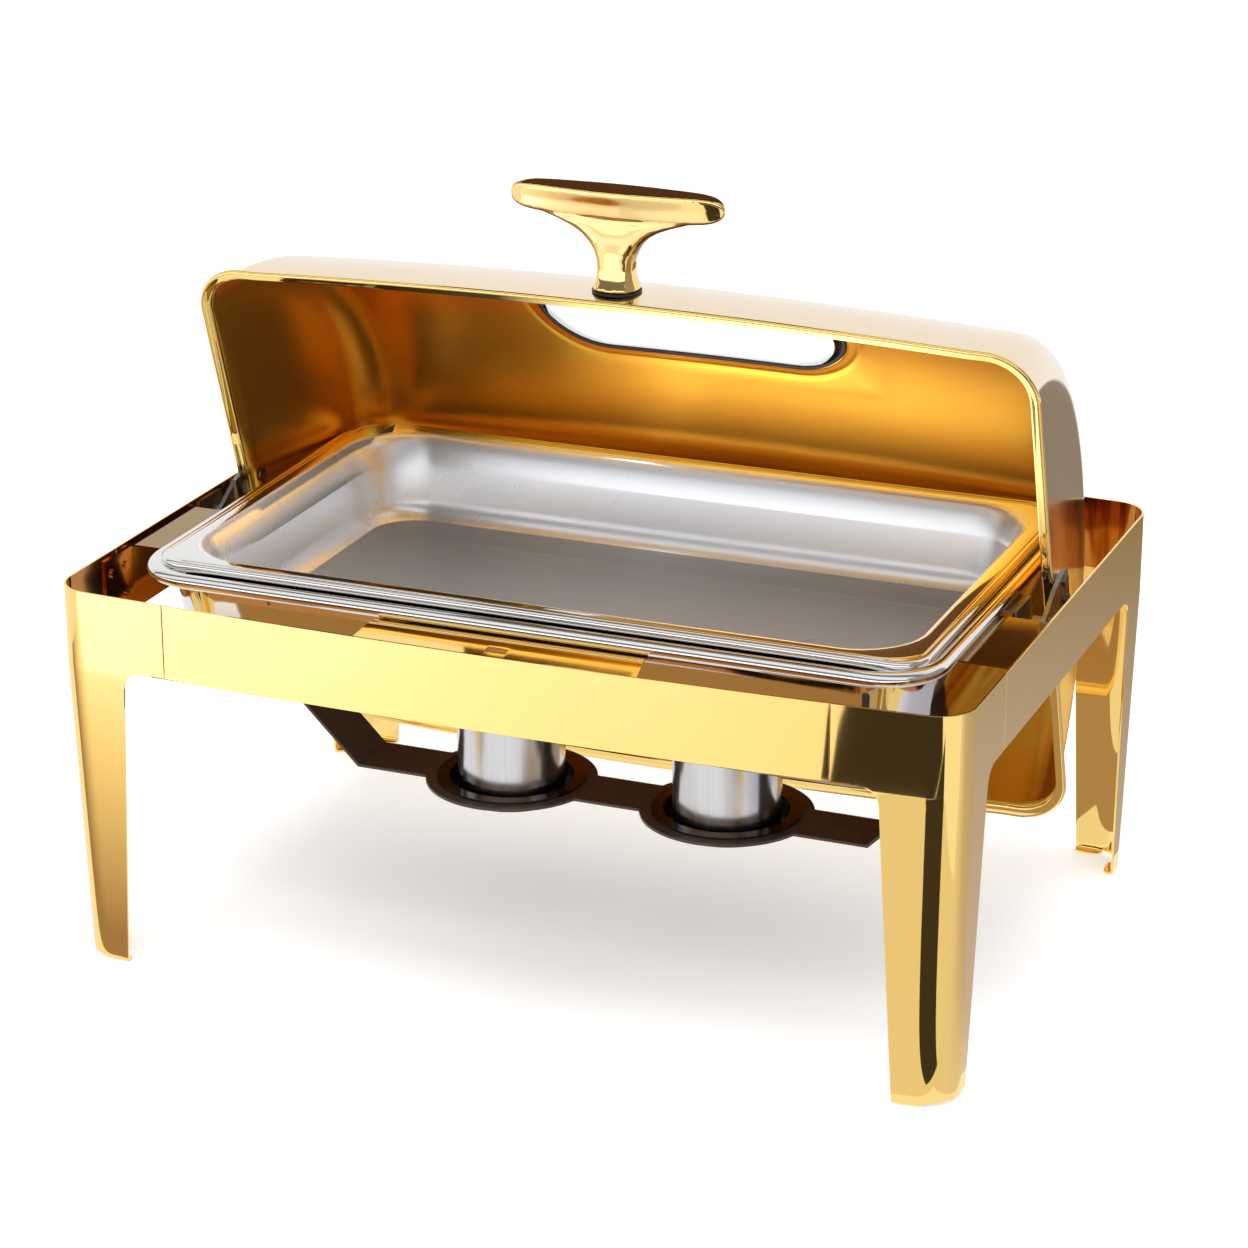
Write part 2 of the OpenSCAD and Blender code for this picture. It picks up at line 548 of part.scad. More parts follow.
// Arms that join the lid's sides to the pivot bolts
module arm() {
    difference() {
        translate([-bead_w - lid_half - 3, 0, 0]) rotate([90, 0, 90]) linear_extrude(3) {
            circle(r = 10);
            polygon([[-10, 0], [10, 0], [15, rim_offset - 6], [15, rim_offset + 16], [11, rim_offset + 20],
                     [-11, rim_offset + 20], [-15, rim_offset + 16], [-15, rim_offset - 6]]);
        }
        translate([-310, 0, 0]) rotate([0, 90, 0]) cylinder(r = 4.05, h = 20);
        for (y = rivet_y) translate([-310, y, rivet_z]) rotate([0, 90, 0]) cylinder(r = 2.5, h = 20);
    }
}
module hinge_arm_left() { color(steel) lid_place() arm(); }
module hinge_arm_right() { color(steel) lid_place() mirror([1, 0, 0]) arm(); }
module lid_rivets() {
    color(steel) lid_place() for (s = [-1, 1]) for (y = rivet_y) translate([s * 285.6, y, rivet_z]) rotate([0, s * 90, 0]) {
        cylinder(r = 5, h = 1.2);
        cylinder(r = 2.5, h = 15.9);
        translate([0, 0, 4.1]) cylinder(r = 4.5, h = 7.3);
        translate([0, 0, 14.4]) cylinder(r = 4.5, h = 1.5);
    }
}

leg_front_left();
leg_front_right();
leg_rear_left();
leg_rear_right();
rail_front();
rail_rear();
rail_left();
rail_right();
splice_plates();
ledge_front();
ledge_left();
ledge_right();
hinge_bracket_left();
hinge_bracket_right();
hinge_pin_left();
hinge_pin_right();
fuel_bracket();
bracket_screws();
fuel_holder_left();
fuel_holder_right();
water_pan();
food_pan();
lid_shell();
lid_bead();
window_glass();
window_gasket();
handle();
handle_washer();
handle_screw();
hinge_arm_left();
hinge_arm_right();
lid_rivets();
fuel_cup_left();
fuel_cup_right();
fuel_cap_left();
fuel_cap_right();
damper_left();
damper_right();
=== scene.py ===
# %% [markdown]
# # Roll top chafer
# A chafer keeps food warm over hot water. This one is a legged stand of polished gold sheet,
# two steel pans, a fuel bracket and a domed lid that rolls back about two side pivots.
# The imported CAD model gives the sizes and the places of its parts. It is loaded first and never moved.

# %% Load the frame
import json
import math
import bpy
from mathutils import Matrix, Vector


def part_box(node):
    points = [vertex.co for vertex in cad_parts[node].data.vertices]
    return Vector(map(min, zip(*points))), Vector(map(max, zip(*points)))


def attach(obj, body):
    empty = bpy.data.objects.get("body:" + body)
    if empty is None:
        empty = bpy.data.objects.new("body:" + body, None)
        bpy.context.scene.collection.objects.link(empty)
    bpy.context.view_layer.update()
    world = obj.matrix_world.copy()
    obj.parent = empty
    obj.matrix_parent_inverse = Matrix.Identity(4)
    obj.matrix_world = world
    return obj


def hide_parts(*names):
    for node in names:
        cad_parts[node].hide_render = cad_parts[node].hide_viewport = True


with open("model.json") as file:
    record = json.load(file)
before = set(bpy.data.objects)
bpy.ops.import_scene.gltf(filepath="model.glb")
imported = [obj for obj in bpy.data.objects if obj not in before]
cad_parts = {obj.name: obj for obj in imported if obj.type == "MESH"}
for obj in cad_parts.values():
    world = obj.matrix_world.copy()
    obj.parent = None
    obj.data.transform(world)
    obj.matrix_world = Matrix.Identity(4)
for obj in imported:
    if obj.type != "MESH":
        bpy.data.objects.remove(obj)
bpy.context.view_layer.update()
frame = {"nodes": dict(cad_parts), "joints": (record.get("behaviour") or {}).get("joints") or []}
nodes = frame["nodes"]
scene = bpy.context.scene
mm = 0.001

# %% [markdown]
# ## Sizes taken from the frame
# A maker marks out from datum faces. Here the datums are the boxes of CAD nodes: the stand's top
# edge, the pivot, the rims of the two pans. Every later number hangs from these.

# %% Datums
stand_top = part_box("rail_front")[1].z
half_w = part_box("rail_right")[1].x
half_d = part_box("rail_rear")[1].y
rail_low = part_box("rail_front")[0].z
sheet = half_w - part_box("rail_right")[0].x
seam_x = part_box("rail_front")[1].x
seam_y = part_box("rail_right")[1].y
roll = next(j for j in frame["joints"] if j["name"] == "lid_roll")
pivot = Vector(roll["pos_m"])
lid_open = -math.radians(roll["range_deg"][0])
water_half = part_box("water_pan")[1]
print("top", round(stand_top, 4), "half width", round(half_w, 4), "half depth", round(half_d, 4))

# %% [markdown]
# ## Making meshes
# Most parts of a chafer are pressed or bent sheet. Each one can be drawn as a row of rings or
# paths that are joined by quads, and then given its thickness with the Solidify modifier. That
# keeps the surface even, which matters on a mirror finish: uneven quads show as ripples.

# %% Mesh helpers
def place(ob, body, replaces=()):
    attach(ob, body)
    if replaces:
        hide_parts(*replaces)
    return ob


def make_piece(name, verts, faces, mats, angle=35):
    mesh = bpy.data.meshes.new(name)
    mesh.from_pydata([tuple(v) for v in verts], [], faces)
    mesh.validate()
    mesh.update()
    for m in mats:
        mesh.materials.append(m)
    ob = bpy.data.objects.new(name, mesh)
    scene.collection.objects.link(ob)
    mesh.shade_smooth()
    mesh.set_sharp_from_angle(angle=math.radians(angle))
    return ob


def quads(rows, cols, wrap_rows=False, wrap_cols=False, first=0):
    out = []
    for i in range(rows if wrap_rows else rows - 1):
        for j in range(cols if wrap_cols else cols - 1):
            k, n = (i + 1) % rows, (j + 1) % cols
            out.append((first + i * cols + j, first + k * cols + j,
                        first + k * cols + n, first + i * cols + n))
    return out


def thicken(ob, thickness, offset=-1.0, inner=0, rim=0, bevel=0.0, even=True):
    mod = ob.modifiers.new("thickness", "SOLIDIFY")
    mod.thickness, mod.offset = thickness, offset
    mod.use_even_offset = even
    mod.material_offset, mod.material_offset_rim = inner, rim
    if bevel:
        b = ob.modifiers.new("soft_edges", "BEVEL")
        b.width, b.segments, b.limit_method = bevel, 2, "ANGLE"
        b.angle_limit = math.radians(40)
        w = ob.modifiers.new("flat_normals", "WEIGHTED_NORMAL")
        w.keep_sharp = True
    return ob


def arc(cx, cz, r, a0, a1, n):
    """Points of an arc in a profile plane, angles in degrees."""
    return [(cx + r * math.cos(math.radians(a0 + (a1 - a0) * i / n)),
             cz + r * math.sin(math.radians(a0 + (a1 - a0) * i / n))) for i in range(n + 1)]


def rounded_ring(hx, hy, r, z, n=14, side=6):
    """A rounded rectangle as points, with a few points on each straight."""
    pts = []
    for c in range(4):
        sx = 1 if c in (0, 3) else -1
        sy = 1 if c < 2 else -1
        for i in range(n + 1):
            a = math.radians(90 * c + 90 * i / n)
            pts.append(Vector((sx * (hx - r) + r * math.cos(a), sy * (hy - r) + r * math.sin(a), z)))
        nx = ((-1, 1), (-1, -1), (1, -1), (1, 1))[c]
        end = Vector((nx[0] * (hx - r) + r * math.cos(math.radians(90 * c + 90)),
                      nx[1] * (hy - r) + r * math.sin(math.radians(90 * c + 90)), z))
        last = pts[-1]
        pts += [last.lerp(end, k / side) for k in range(1, side)]
    return pts


print("helpers ready")

# %% [markdown]
# ## Finishes
# The gold parts are polished stainless steel with a gold coating. A real mirror finish is never
# even: faint wiping marks change how sharp the reflection is. One shared node group makes those
# marks, and another makes the fine lines of brushed steel. Each material gives them its own values.

# %% Shared effect: wiping marks
def new_group(name, ins, outs):
    g = bpy.data.node_groups.new(name, "ShaderNodeTree")
    for n, kind, value in ins:
        s = g.interface.new_socket(name=n, in_out="INPUT", socket_type=kind)
        s.default_value = value
    for n, kind in outs:
        g.interface.new_socket(name=n, in_out="OUTPUT", socket_type=kind)
    gi, go = g.nodes.new("NodeGroupInput"), g.nodes.new("NodeGroupOutput")
    return g, gi, go


def node(tree, kind, **props):
    n = tree.nodes.new(kind)
    for k, v in props.items():
        setattr(n, k, v)
    return n


wipe, gi, go = new_group("wiping_marks",
    [("Scale", "NodeSocketFloat", 9.0), ("Low", "NodeSocketFloat", 0.05), ("High", "NodeSocketFloat", 0.12),
     ("Clean", "NodeSocketColor", (1, 1, 1, 1)), ("Worn", "NodeSocketColor", (0.8, 0.8, 0.8, 1))],
    [("Color", "NodeSocketColor"), ("Roughness", "NodeSocketFloat"), ("Height", "NodeSocketFloat")])
tc = node(wipe, "ShaderNodeTexCoord")
mp = node(wipe, "ShaderNodeMapping")
mp.inputs["Scale"].default_value = (1.0, 1.6, 0.7)
nz = node(wipe, "ShaderNodeTexNoise")
nz.inputs["Detail"].default_value = 5.0
nz.inputs["Roughness"].default_value = 0.6
nz.inputs["Distortion"].default_value = 0.6
mr = node(wipe, "ShaderNodeMapRange")
mr.inputs["From Min"].default_value, mr.inputs["From Max"].default_value = 0.35, 0.7
mix = node(wipe, "ShaderNodeMix", data_type="RGBA")
wipe.links.new(tc.outputs["Object"], mp.inputs["Vector"])
wipe.links.new(mp.outputs["Vector"], nz.inputs["Vector"])
wipe.links.new(gi.outputs["Scale"], nz.inputs["Scale"])
wipe.links.new(nz.outputs["Fac"], mr.inputs["Value"])
wipe.links.new(gi.outputs["Low"], mr.inputs["To Min"])
wipe.links.new(gi.outputs["High"], mr.inputs["To Max"])
wipe.links.new(nz.outputs["Fac"], mix.inputs["Factor"])
wipe.links.new(gi.outputs["Clean"], mix.inputs["A"])
wipe.links.new(gi.outputs["Worn"], mix.inputs["B"])
wipe.links.new(mix.outputs["Result"], go.inputs["Color"])
wipe.links.new(mr.outputs["Result"], go.inputs["Roughness"])
wipe.links.new(nz.outputs["Fac"], go.inputs["Height"])
print("group", wipe.name)

# %% Shared effect: brushed lines
brush, gi, go = new_group("brushed_lines",
    [("Stretch", "NodeSocketVector", (4, 400, 400)), ("Turn", "NodeSocketVector", (0, 0, 0)),
     ("Low", "NodeSocketFloat", 0.25), ("High", "NodeSocketFloat", 0.4),
     ("Light", "NodeSocketColor", (0.8, 0.8, 0.8, 1)), ("Dark", "NodeSocketColor", (0.7, 0.7, 0.7, 1))],
    [("Color", "NodeSocketColor"), ("Roughness", "NodeSocketFloat"), ("Height", "NodeSocketFloat")])
tc = node(brush, "ShaderNodeTexCoord")
turn = node(brush, "ShaderNodeVectorRotate", rotation_type="EULER_XYZ")
mul = node(brush, "ShaderNodeVectorMath", operation="MULTIPLY")
nz = node(brush, "ShaderNodeTexNoise")
nz.inputs["Scale"].default_value = 1.0
nz.inputs["Detail"].default_value = 3.0
broad = node(brush, "ShaderNodeTexNoise")
broad.inputs["Scale"].default_value = 6.0
broad.inputs["Detail"].default_value = 2.0
add = node(brush, "ShaderNodeMath", operation="ADD")
half = node(brush, "ShaderNodeMath", operation="MULTIPLY")
half.inputs[1].default_value = 0.5
mr = node(brush, "ShaderNodeMapRange")
mr.inputs["From Min"].default_value, mr.inputs["From Max"].default_value = 0.35, 0.65
mix = node(brush, "ShaderNodeMix", data_type="RGBA")
brush.links.new(tc.outputs["Object"], turn.inputs["Vector"])
brush.links.new(gi.outputs["Turn"], turn.inputs["Rotation"])
brush.links.new(turn.outputs["Vector"], mul.inputs[0])
brush.links.new(gi.outputs["Stretch"], mul.inputs[1])
brush.links.new(mul.outputs["Vector"], nz.inputs["Vector"])
brush.links.new(tc.outputs["Object"], broad.inputs["Vector"])
brush.links.new(nz.outputs["Fac"], add.inputs[0])
brush.links.new(broad.outputs["Fac"], add.inputs[1])
brush.links.new(add.outputs["Value"], half.inputs[0])
brush.links.new(half.outputs["Value"], mr.inputs["Value"])
brush.links.new(gi.outputs["Low"], mr.inputs["To Min"])
brush.links.new(gi.outputs["High"], mr.inputs["To Max"])
brush.links.new(half.outputs["Value"], mix.inputs["Factor"])
brush.links.new(gi.outputs["Light"], mix.inputs["A"])
brush.links.new(gi.outputs["Dark"], mix.inputs["B"])
brush.links.new(mix.outputs["Result"], go.inputs["Color"])
brush.links.new(mr.outputs["Result"], go.inputs["Roughness"])
brush.links.new(nz.outputs["Fac"], go.inputs["Height"])
print("group", brush.name)

# %% Material makers
bump_depth = 0.2 * mm


def surface(name, group, values):
    """A material whose colour and roughness come from one of the shared groups."""
    m = bpy.data.materials.new(name)
    m.use_nodes = True
    t = m.node_tree
    bsdf = t.nodes["Principled BSDF"]
    g = node(t, "ShaderNodeGroup", node_tree=group)
    for k, v in values.items():
        g.inputs[k].default_value = v
    t.links.new(g.outputs["Color"], bsdf.inputs["Base Color"])
    t.links.new(g.outputs["Roughness"], bsdf.inputs["Roughness"])
    return m, t, bsdf, g


def metal(name, group, values, metallic=1.0, bump=0.0):
    m, t, bsdf, g = surface(name, group, values)
    bsdf.inputs["Metallic"].default_value = metallic
    if bump:
        b = node(t, "ShaderNodeBump")
        b.inputs["Strength"].default_value = bump
        b.inputs["Distance"].default_value = bump_depth
        t.links.new(g.outputs["Height"], b.inputs["Height"])
        t.links.new(b.outputs["Normal"], bsdf.inputs["Normal"])
    print("material", name)
    return m


gold = metal("polished_gold", wipe, {"Scale": 7.0, "Low": 0.035, "High": 0.065,
    "Clean": (1.0, 0.74, 0.27, 1), "Worn": (0.98, 0.68, 0.22, 1)})
# Painted shade: a darker copy of the polished gold, for the inner faces of legs and rails and for the splice
# plates behind the seams.
gold_with_painted_shade = metal("gold_inner_faces_painted_shade", wipe, {"Scale": 9.0, "Low": 0.05, "High": 0.10,
    "Clean": (0.62, 0.27, 0.07, 1), "Worn": (0.46, 0.18, 0.045, 1)})
# Painted shade: a much darker copy of the polished gold, for the side ledges.
ledge_gold_painted_shade = metal("ledge_gold_with_painted_shade", wipe, {"Scale": 9.0, "Low": 0.08, "High": 0.14,
    "Clean": (0.33, 0.20, 0.055, 1), "Worn": (0.26, 0.15, 0.04, 1)})
gold_handle = metal("cast_gold", wipe, {"Scale": 26.0, "Low": 0.05, "High": 0.10,
    "Clean": (1.0, 0.76, 0.33, 1), "Worn": (0.95, 0.66, 0.25, 1)}, bump=0.02)

# Painted shade: the underside of the cast handle is made darker. The way its surface faces tells where that
# is.
t = gold_handle.node_tree
facing, split = node(t, "ShaderNodeTexCoord"), node(t, "ShaderNodeSeparateXYZ")
under = node(t, "ShaderNodeMapRange", interpolation_type="SMOOTHSTEP")
under.inputs["From Min"].default_value, under.inputs["From Max"].default_value = -0.12, -0.55
painted_underside_shade = node(t, "ShaderNodeMix", data_type="RGBA")
painted_underside_shade.inputs["B"].default_value = (0.22, 0.10, 0.03, 1)
group_node = next(n for n in t.nodes if n.type == "GROUP")
t.links.new(facing.outputs["Normal"], split.inputs["Vector"])
t.links.new(split.outputs["Z"], under.inputs["Value"])
t.links.new(under.outputs["Result"], painted_underside_shade.inputs["Factor"])
t.links.new(group_node.outputs["Color"], painted_underside_shade.inputs["A"])
t.links.new(painted_underside_shade.outputs["Result"], t.nodes["Principled BSDF"].inputs["Base Color"])
gold_dome = metal("gold_dome_outside", wipe, {"Scale": 4.0, "Low": 0.12, "High": 0.2,
    "Clean": (0.90, 0.755, 0.585, 1), "Worn": (0.85, 0.69, 0.50, 1)})
gold_inside = metal("gold_dome_inside", brush, {"Stretch": (5, 190, 16), "Turn": (lid_open, 0, 0),
    "Low": 0.28, "High": 0.32, "Light": (0.93, 0.49, 0.06, 1), "Dark": (0.89, 0.45, 0.048, 1)})
bronze = metal("dark_gold_strip", wipe, {"Scale": 14.0, "Low": 0.32, "High": 0.48,
    "Clean": (0.095, 0.056, 0.038, 1), "Worn": (0.065, 0.038, 0.026, 1)}, metallic=0.3)
pan_steel = metal("satin_pan_steel", wipe, {"Scale": 5.0, "Low": 0.25, "High": 0.31,
    "Clean": (0.90, 0.935, 0.98, 1), "Worn": (0.84, 0.875, 0.93, 1)}, metallic=0.68)
# Painted shade: the pan floor is a darker, less metallic copy of the pan steel; its brushed lines are real.
pan_floor_painted_shade = metal("brushed_pan_floor_painted_shade", brush, {"Stretch": (5, 330, 330), "Low": 0.42, "High": 0.52,
    "Light": (0.33, 0.365, 0.405, 1), "Dark": (0.25, 0.28, 0.31, 1)}, bump=0.02, metallic=0.25)
rim_steel = metal("polished_rim_steel", wipe, {"Scale": 11.0, "Low": 0.05, "High": 0.09,
    "Clean": (0.82, 0.81, 0.80, 1), "Worn": (0.74, 0.73, 0.72, 1)})
holder_steel = metal("dark_holder_steel", wipe, {"Scale": 16.0, "Low": 0.12, "High": 0.2,
    "Clean": (0.15, 0.14, 0.135, 1), "Worn": (0.11, 0.10, 0.095, 1)})
cup_steel = metal("brushed_cup_steel", brush, {"Stretch": (500, 500, 6), "Low": 0.14, "High": 0.24,
    "Light": (0.74, 0.74, 0.75, 1), "Dark": (0.60, 0.60, 0.61, 1)}, bump=0.03)
zinc = metal("zinc_hardware", wipe, {"Scale": 40.0, "Low": 0.25, "High": 0.4,
    "Clean": (0.30, 0.28, 0.26, 1), "Worn": (0.20, 0.185, 0.17, 1)}, bump=0.1)


def glass_material():
    m, _, bsdf, _ = surface("clear_glass", wipe, {"Scale": 12.0, "Low": 0.0, "High": 0.03,
        "Clean": (0.98, 0.995, 0.99, 1), "Worn": (0.96, 0.98, 0.975, 1)})
    bsdf.inputs["Transmission Weight"].default_value = 1.0
    bsdf.inputs["IOR"].default_value = 1.45
    return m


rubber = surface("black_rubber", wipe, {"Scale": 60.0, "Low": 0.45, "High": 0.6,
    "Clean": (0.012, 0.012, 0.012, 1), "Worn": (0.03, 0.03, 0.03, 1)})[0]
glass = glass_material()

# %% [markdown]
# ## The stand
# Each leg is one sheet folded round a corner and cut with an arch below the rail. The rails run
# between the legs, and the long ones bulge a little. The sheet's path round the stand is one
# function of the distance from the middle, so legs and rails share the same curve.

# %% Path round the stand
corner_r = 25 * mm
rail_bow = 8 * mm
arc_half = half_w - corner_r
arc_r = (arc_half ** 2 + rail_bow ** 2) / (2 * rail_bow)
arc_y = half_d - arc_r
arc_a = math.asin(arc_half / (arc_r - corner_r))
corner_y = arc_y + (arc_r - corner_r) * math.cos(arc_a)
long_len = arc_r * arc_a
turn_len = corner_r * (math.pi / 2 - arc_a)


def stand_path(s):
    """Point and outward direction in the +x +y quarter, s metres from the middle of a long side."""
    if s < long_len:
        a = s / arc_r
        return Vector((arc_r * math.sin(a), arc_y + arc_r * math.cos(a))), Vector((math.sin(a), math.cos(a)))
    if s < long_len + turn_len:
        b = math.pi / 2 - arc_a - (s - long_len) / corner_r
        n = Vector((math.cos(b), math.sin(b)))
        return Vector((arc_half, corner_y)) + corner_r * n, n
    return Vector((half_w, corner_y - (s - long_len - turn_len))), Vector((1, 0))


seam_long = arc_r * math.asin((seam_x + 0.4 * mm) / arc_r)
seam_short = long_len + turn_len + corner_y - (seam_y + 0.4 * mm)
print("distance to the seams", round(seam_long, 4), round(seam_short, 4))

# %% Legs
leg_lean = 5 * mm
arch_r = 12 * mm
rail_h = stand_top - rail_low
lip_r = 2.5 * mm
lip_w = 8 * mm


def at_leg(s, z, inward=0.0):
    p, n = stand_path(s)
    lean = leg_lean * min(1.0, max(0.0, (rail_low - 4 * mm - z) / (rail_low - 4 * mm)))
    q = p - n * inward
    return Vector((q.x - lean, q.y - lean, z))


def s_of_x(x):
    return arc_r * math.asin(x / arc_r)


def s_of_y(y):
    return long_len + turn_len + corner_y - y


def leg_edges(z):
    """Path positions of the two edges of the leg at a height."""
    top_x, foot_x = half_w - 53 * mm, half_w - 41.6 * mm
    top_y, foot_y = half_d - rail_bow - 53 * mm, half_d - rail_bow - 41.6 * mm
    depth = rail_low - z
    t = depth / rail_low
    ex, ey = top_x + (foot_x - top_x) * t, top_y + (foot_y - top_y) * t
    if depth < arch_r:
        cut = arch_r - math.sqrt(max(arch_r ** 2 - (arch_r - depth) ** 2, 0.0))
        ex, ey = ex - cut, ey - cut
    lean = leg_lean * min(1.0, max(0.0, (rail_low - 4 * mm - z) / (rail_low - 4 * mm)))
    return s_of_x(ex + lean), s_of_y(ey + lean)


def leg_mesh():
    verts, faces = [], []
    lo, hi = leg_edges(rail_low)
    inner = [lo + (hi - lo) * k / 64 for k in range(65)]
    cols = [seam_long + (lo - seam_long) * k / 4 for k in range(4)] + inner
    cols += [hi + (seam_short - hi) * k / 4 for k in range(1, 5)]
    rows = [stand_top - rail_h * k / 6 for k in range(7)]
    for z in rows:
        verts += [at_leg(s, z) for s in cols]
    faces += quads(len(rows), len(cols))
    top_row = [(len(rows) - 1) * len(cols) + 4 + k for k in range(65)]
    depths = [arch_r * (1 - math.cos(math.radians(15 * k))) for k in range(1, 7)]
    depths += [arch_r + (rail_low - lip_r - arch_r) * k / 14 for k in range(1, 15)]
    last = top_row
    for d in depths:
        a, b = leg_edges(rail_low - d)
        row = []
        for k in range(65):
            row.append(len(verts))
            verts.append(at_leg(a + (b - a) * k / 64, rail_low - d))
        faces += [(last[k], row[k], row[k + 1], last[k + 1]) for k in range(64)]
        last = row
    a, b = leg_edges(lip_r)
    step = (b - a) / 64
    for first, end in ((0, int(21 * mm / step)), (64 - int(21 * mm / step), 64)):
        before = last[first:end + 1]
        span = end - first
        for i in range(1, 11):
            if i < 5:
                ang = math.radians(22.5 * i)
                inward, z, pull = lip_r * (1 - math.cos(ang)), lip_r * (1 - math.sin(ang)), 0.0
            else:
                g = (i - 4) / 6
                inward, z = lip_r + (lip_w - lip_r) * g, 0.0
                pull = 1 - math.sqrt(max(0.0, 1 - g ** 3))
            row = []
            for k in range(span + 1):
                s0, s1 = a + step * first, a + step * end
                s = s0 + (s1 - s0) * k / span
                mid = (s0 + s1) / 2
                row.append(len(verts))
                verts.append(at_leg(s + (mid - s) * pull * 0.55, z, inward))
            faces += [(before[k], row[k], row[k + 1], before[k + 1]) for k in range(span)]
            before = row
    return verts, faces


def mirrored(verts, faces, sx, sy):
    verts = [Vector((v.x * sx, v.y * sy, v.z)) for v in verts]
    return verts, ([tuple(reversed(f)) for f in faces] if sx * sy > 0 else faces)


leg_v, leg_f = leg_mesh()
# Painted shade: the inner faces of each leg above the lower edge of the rails take the darker gold.
for name, sx, sy in (("leg_front_left", -1, -1), ("leg_front_right", 1, -1),
                     ("leg_rear_left", -1, 1), ("leg_rear_right", 1, 1)):
    v, f = mirrored(leg_v, leg_f, sx, sy)
    leg = make_piece(name + "_sheet", v, f, [gold, gold_with_painted_shade, gold, gold])
    for poly in leg.data.polygons:
        poly.material_index = 0 if poly.center.z > rail_low + 0.5 * mm else 2
    thicken(leg, sheet, offset=-1.0, inner=1, bevel=0.25 * mm)
    place(leg, "stand", [name])
print("leg points", len(leg_v))

# %% Rails
def rail_mesh(s0, s1, n):
    verts = []
    for i in range(n + 1):
        p, _ = stand_path(s0 + (s1 - s0) * i / n)
        verts += [Vector((p.x, p.y, stand_top - rail_h * k / 6)) for k in range(7)]
    return verts


def strip(name, path_half, sx, sy, long_side):
    """A rail made from its half path and the mirrored half."""
    half_rows = len(path_half) // 7
    rows = [path_half[i * 7:(i + 1) * 7] for i in range(half_rows)]
    flip = Vector((-1, 1, 1)) if long_side else Vector((1, -1, 1))
    other = [[Vector((v.x * flip.x, v.y * flip.y, v.z)) for v in r] for r in rows]
    if long_side:
        rows = list(reversed(other))[:-1] + rows
    else:
        rows = rows + list(reversed(other))[1:]
    verts = [v for r in rows for v in r]
    faces = [tuple(reversed(f)) for f in quads(len(rows), 7)]
    verts, faces = mirrored(verts, faces, sx, sy)
    rail = make_piece(name + "_sheet", verts, faces, [gold, gold_with_painted_shade])
    thicken(rail, sheet, offset=-1.0, inner=1, bevel=0.25 * mm)
    return place(rail, "stand", [name])


gap = 0.6 * mm
long_half = rail_mesh(0, seam_long - gap, 40)
short_half = rail_mesh(seam_short + gap, long_len + turn_len + corner_y, 12)
# Painted shade: the inner faces of the rails take the darker gold.
strip("rail_rear", long_half, 1, 1, True)
strip("rail_front", long_half, 1, -1, True)
strip("rail_right", short_half, 1, 1, False)
strip("rail_left", short_half, -1, 1, False)
print("rails made")

# %% Front ledge
def ledge_plate():
    """A bent plate behind the front rail: a shallow slope, a flat and a bend down, with a notch."""
    low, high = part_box("ledge_front")
    half, y1 = high.x, high.y
    y0 = max(low.y, -half_d + sheet + 0.5 * mm)
    top = high.z - 0.2 * mm
    section = [(0, -6.2), (0.12, -5.8), (0.24, -4.4), (0.37, -2.8), (0.46, -1.7), (0.55, -0.6),
               (0.6, -0.15), (0.66, 0.0), (0.72, -0.1), (0.79, -0.7), (0.86, -1.6), (0.93, -2.6), (1, -3.6)]
    xs = sorted([half * (-1 + k / 12) for k in range(25) if abs(-1 + k / 12) > 0.08] + [-7 * mm, 7 * mm, 0])
    verts, faces = [], []
    for x in xs:
        for t, z in section:
            pull = 1 - 0.09 * t
            verts.append(Vector((x * pull, y0 + (y1 - y0) * t, top + z * mm)))
    n = len(section)
    for i in range(len(xs) - 1):
        for j in range(n - 1):
            if abs(xs[i] + xs[i + 1]) < 8 * mm and j == 3:
                continue
            faces.append((i * n + j, (i + 1) * n + j, (i + 1) * n + j + 1, i * n + j + 1))
    return verts, faces


lv, lf = ledge_plate()
ledge = make_piece("ledge_front_plate", lv, lf, [gold])
thicken(ledge, 1.2 * mm, bevel=0.2 * mm)
place(ledge, "stand", ["ledge_front"])
print("front ledge", len(lv))

# %% [markdown]
# ## The two pans
# The food pan is pressed from one sheet: a flat flange, a rounded edge, sloping walls, a wide
# bend and a floor with a pressed line round it. The water pan below has a rolled rim. Both are
# stacks of rounded rectangles. The profile is written once, from the middle of the floor outwards.

# %% Pan maker
def pan(name, profile, half, corner, mats, body, thickness, node_name, bands, offset=-1.0):
    """profile: (distance in from the rim, height, change of corner radius) in mm."""
    verts, faces = [], []
    rows = []
    for inset, z, dr in profile:
        deep = inset if inset > 0 else inset * 0.92
        rows.append(rounded_ring(half[0] - inset * mm, half[1] - deep * mm,
                                 (corner + dr) * mm, stand_top + z * mm))
    cols = len(rows[0])
    for r in rows:
        verts += r
    faces = [tuple(reversed(f)) for f in quads(len(rows), cols, wrap_cols=True)]
    faces.append(tuple(range(cols)))
    ob = make_piece(name, verts, faces, mats, angle=50)
    row_of = [min(f) // cols for f in faces]
    row_of[-1] = -1
    for poly, r in zip(ob.data.polygons, row_of):
        poly.material_index = next((m for lo, hi, m in bands if lo <= r < hi), 0)
    thicken(ob, thickness, offset=offset, even=False)
    return place(ob, body, [node_name])


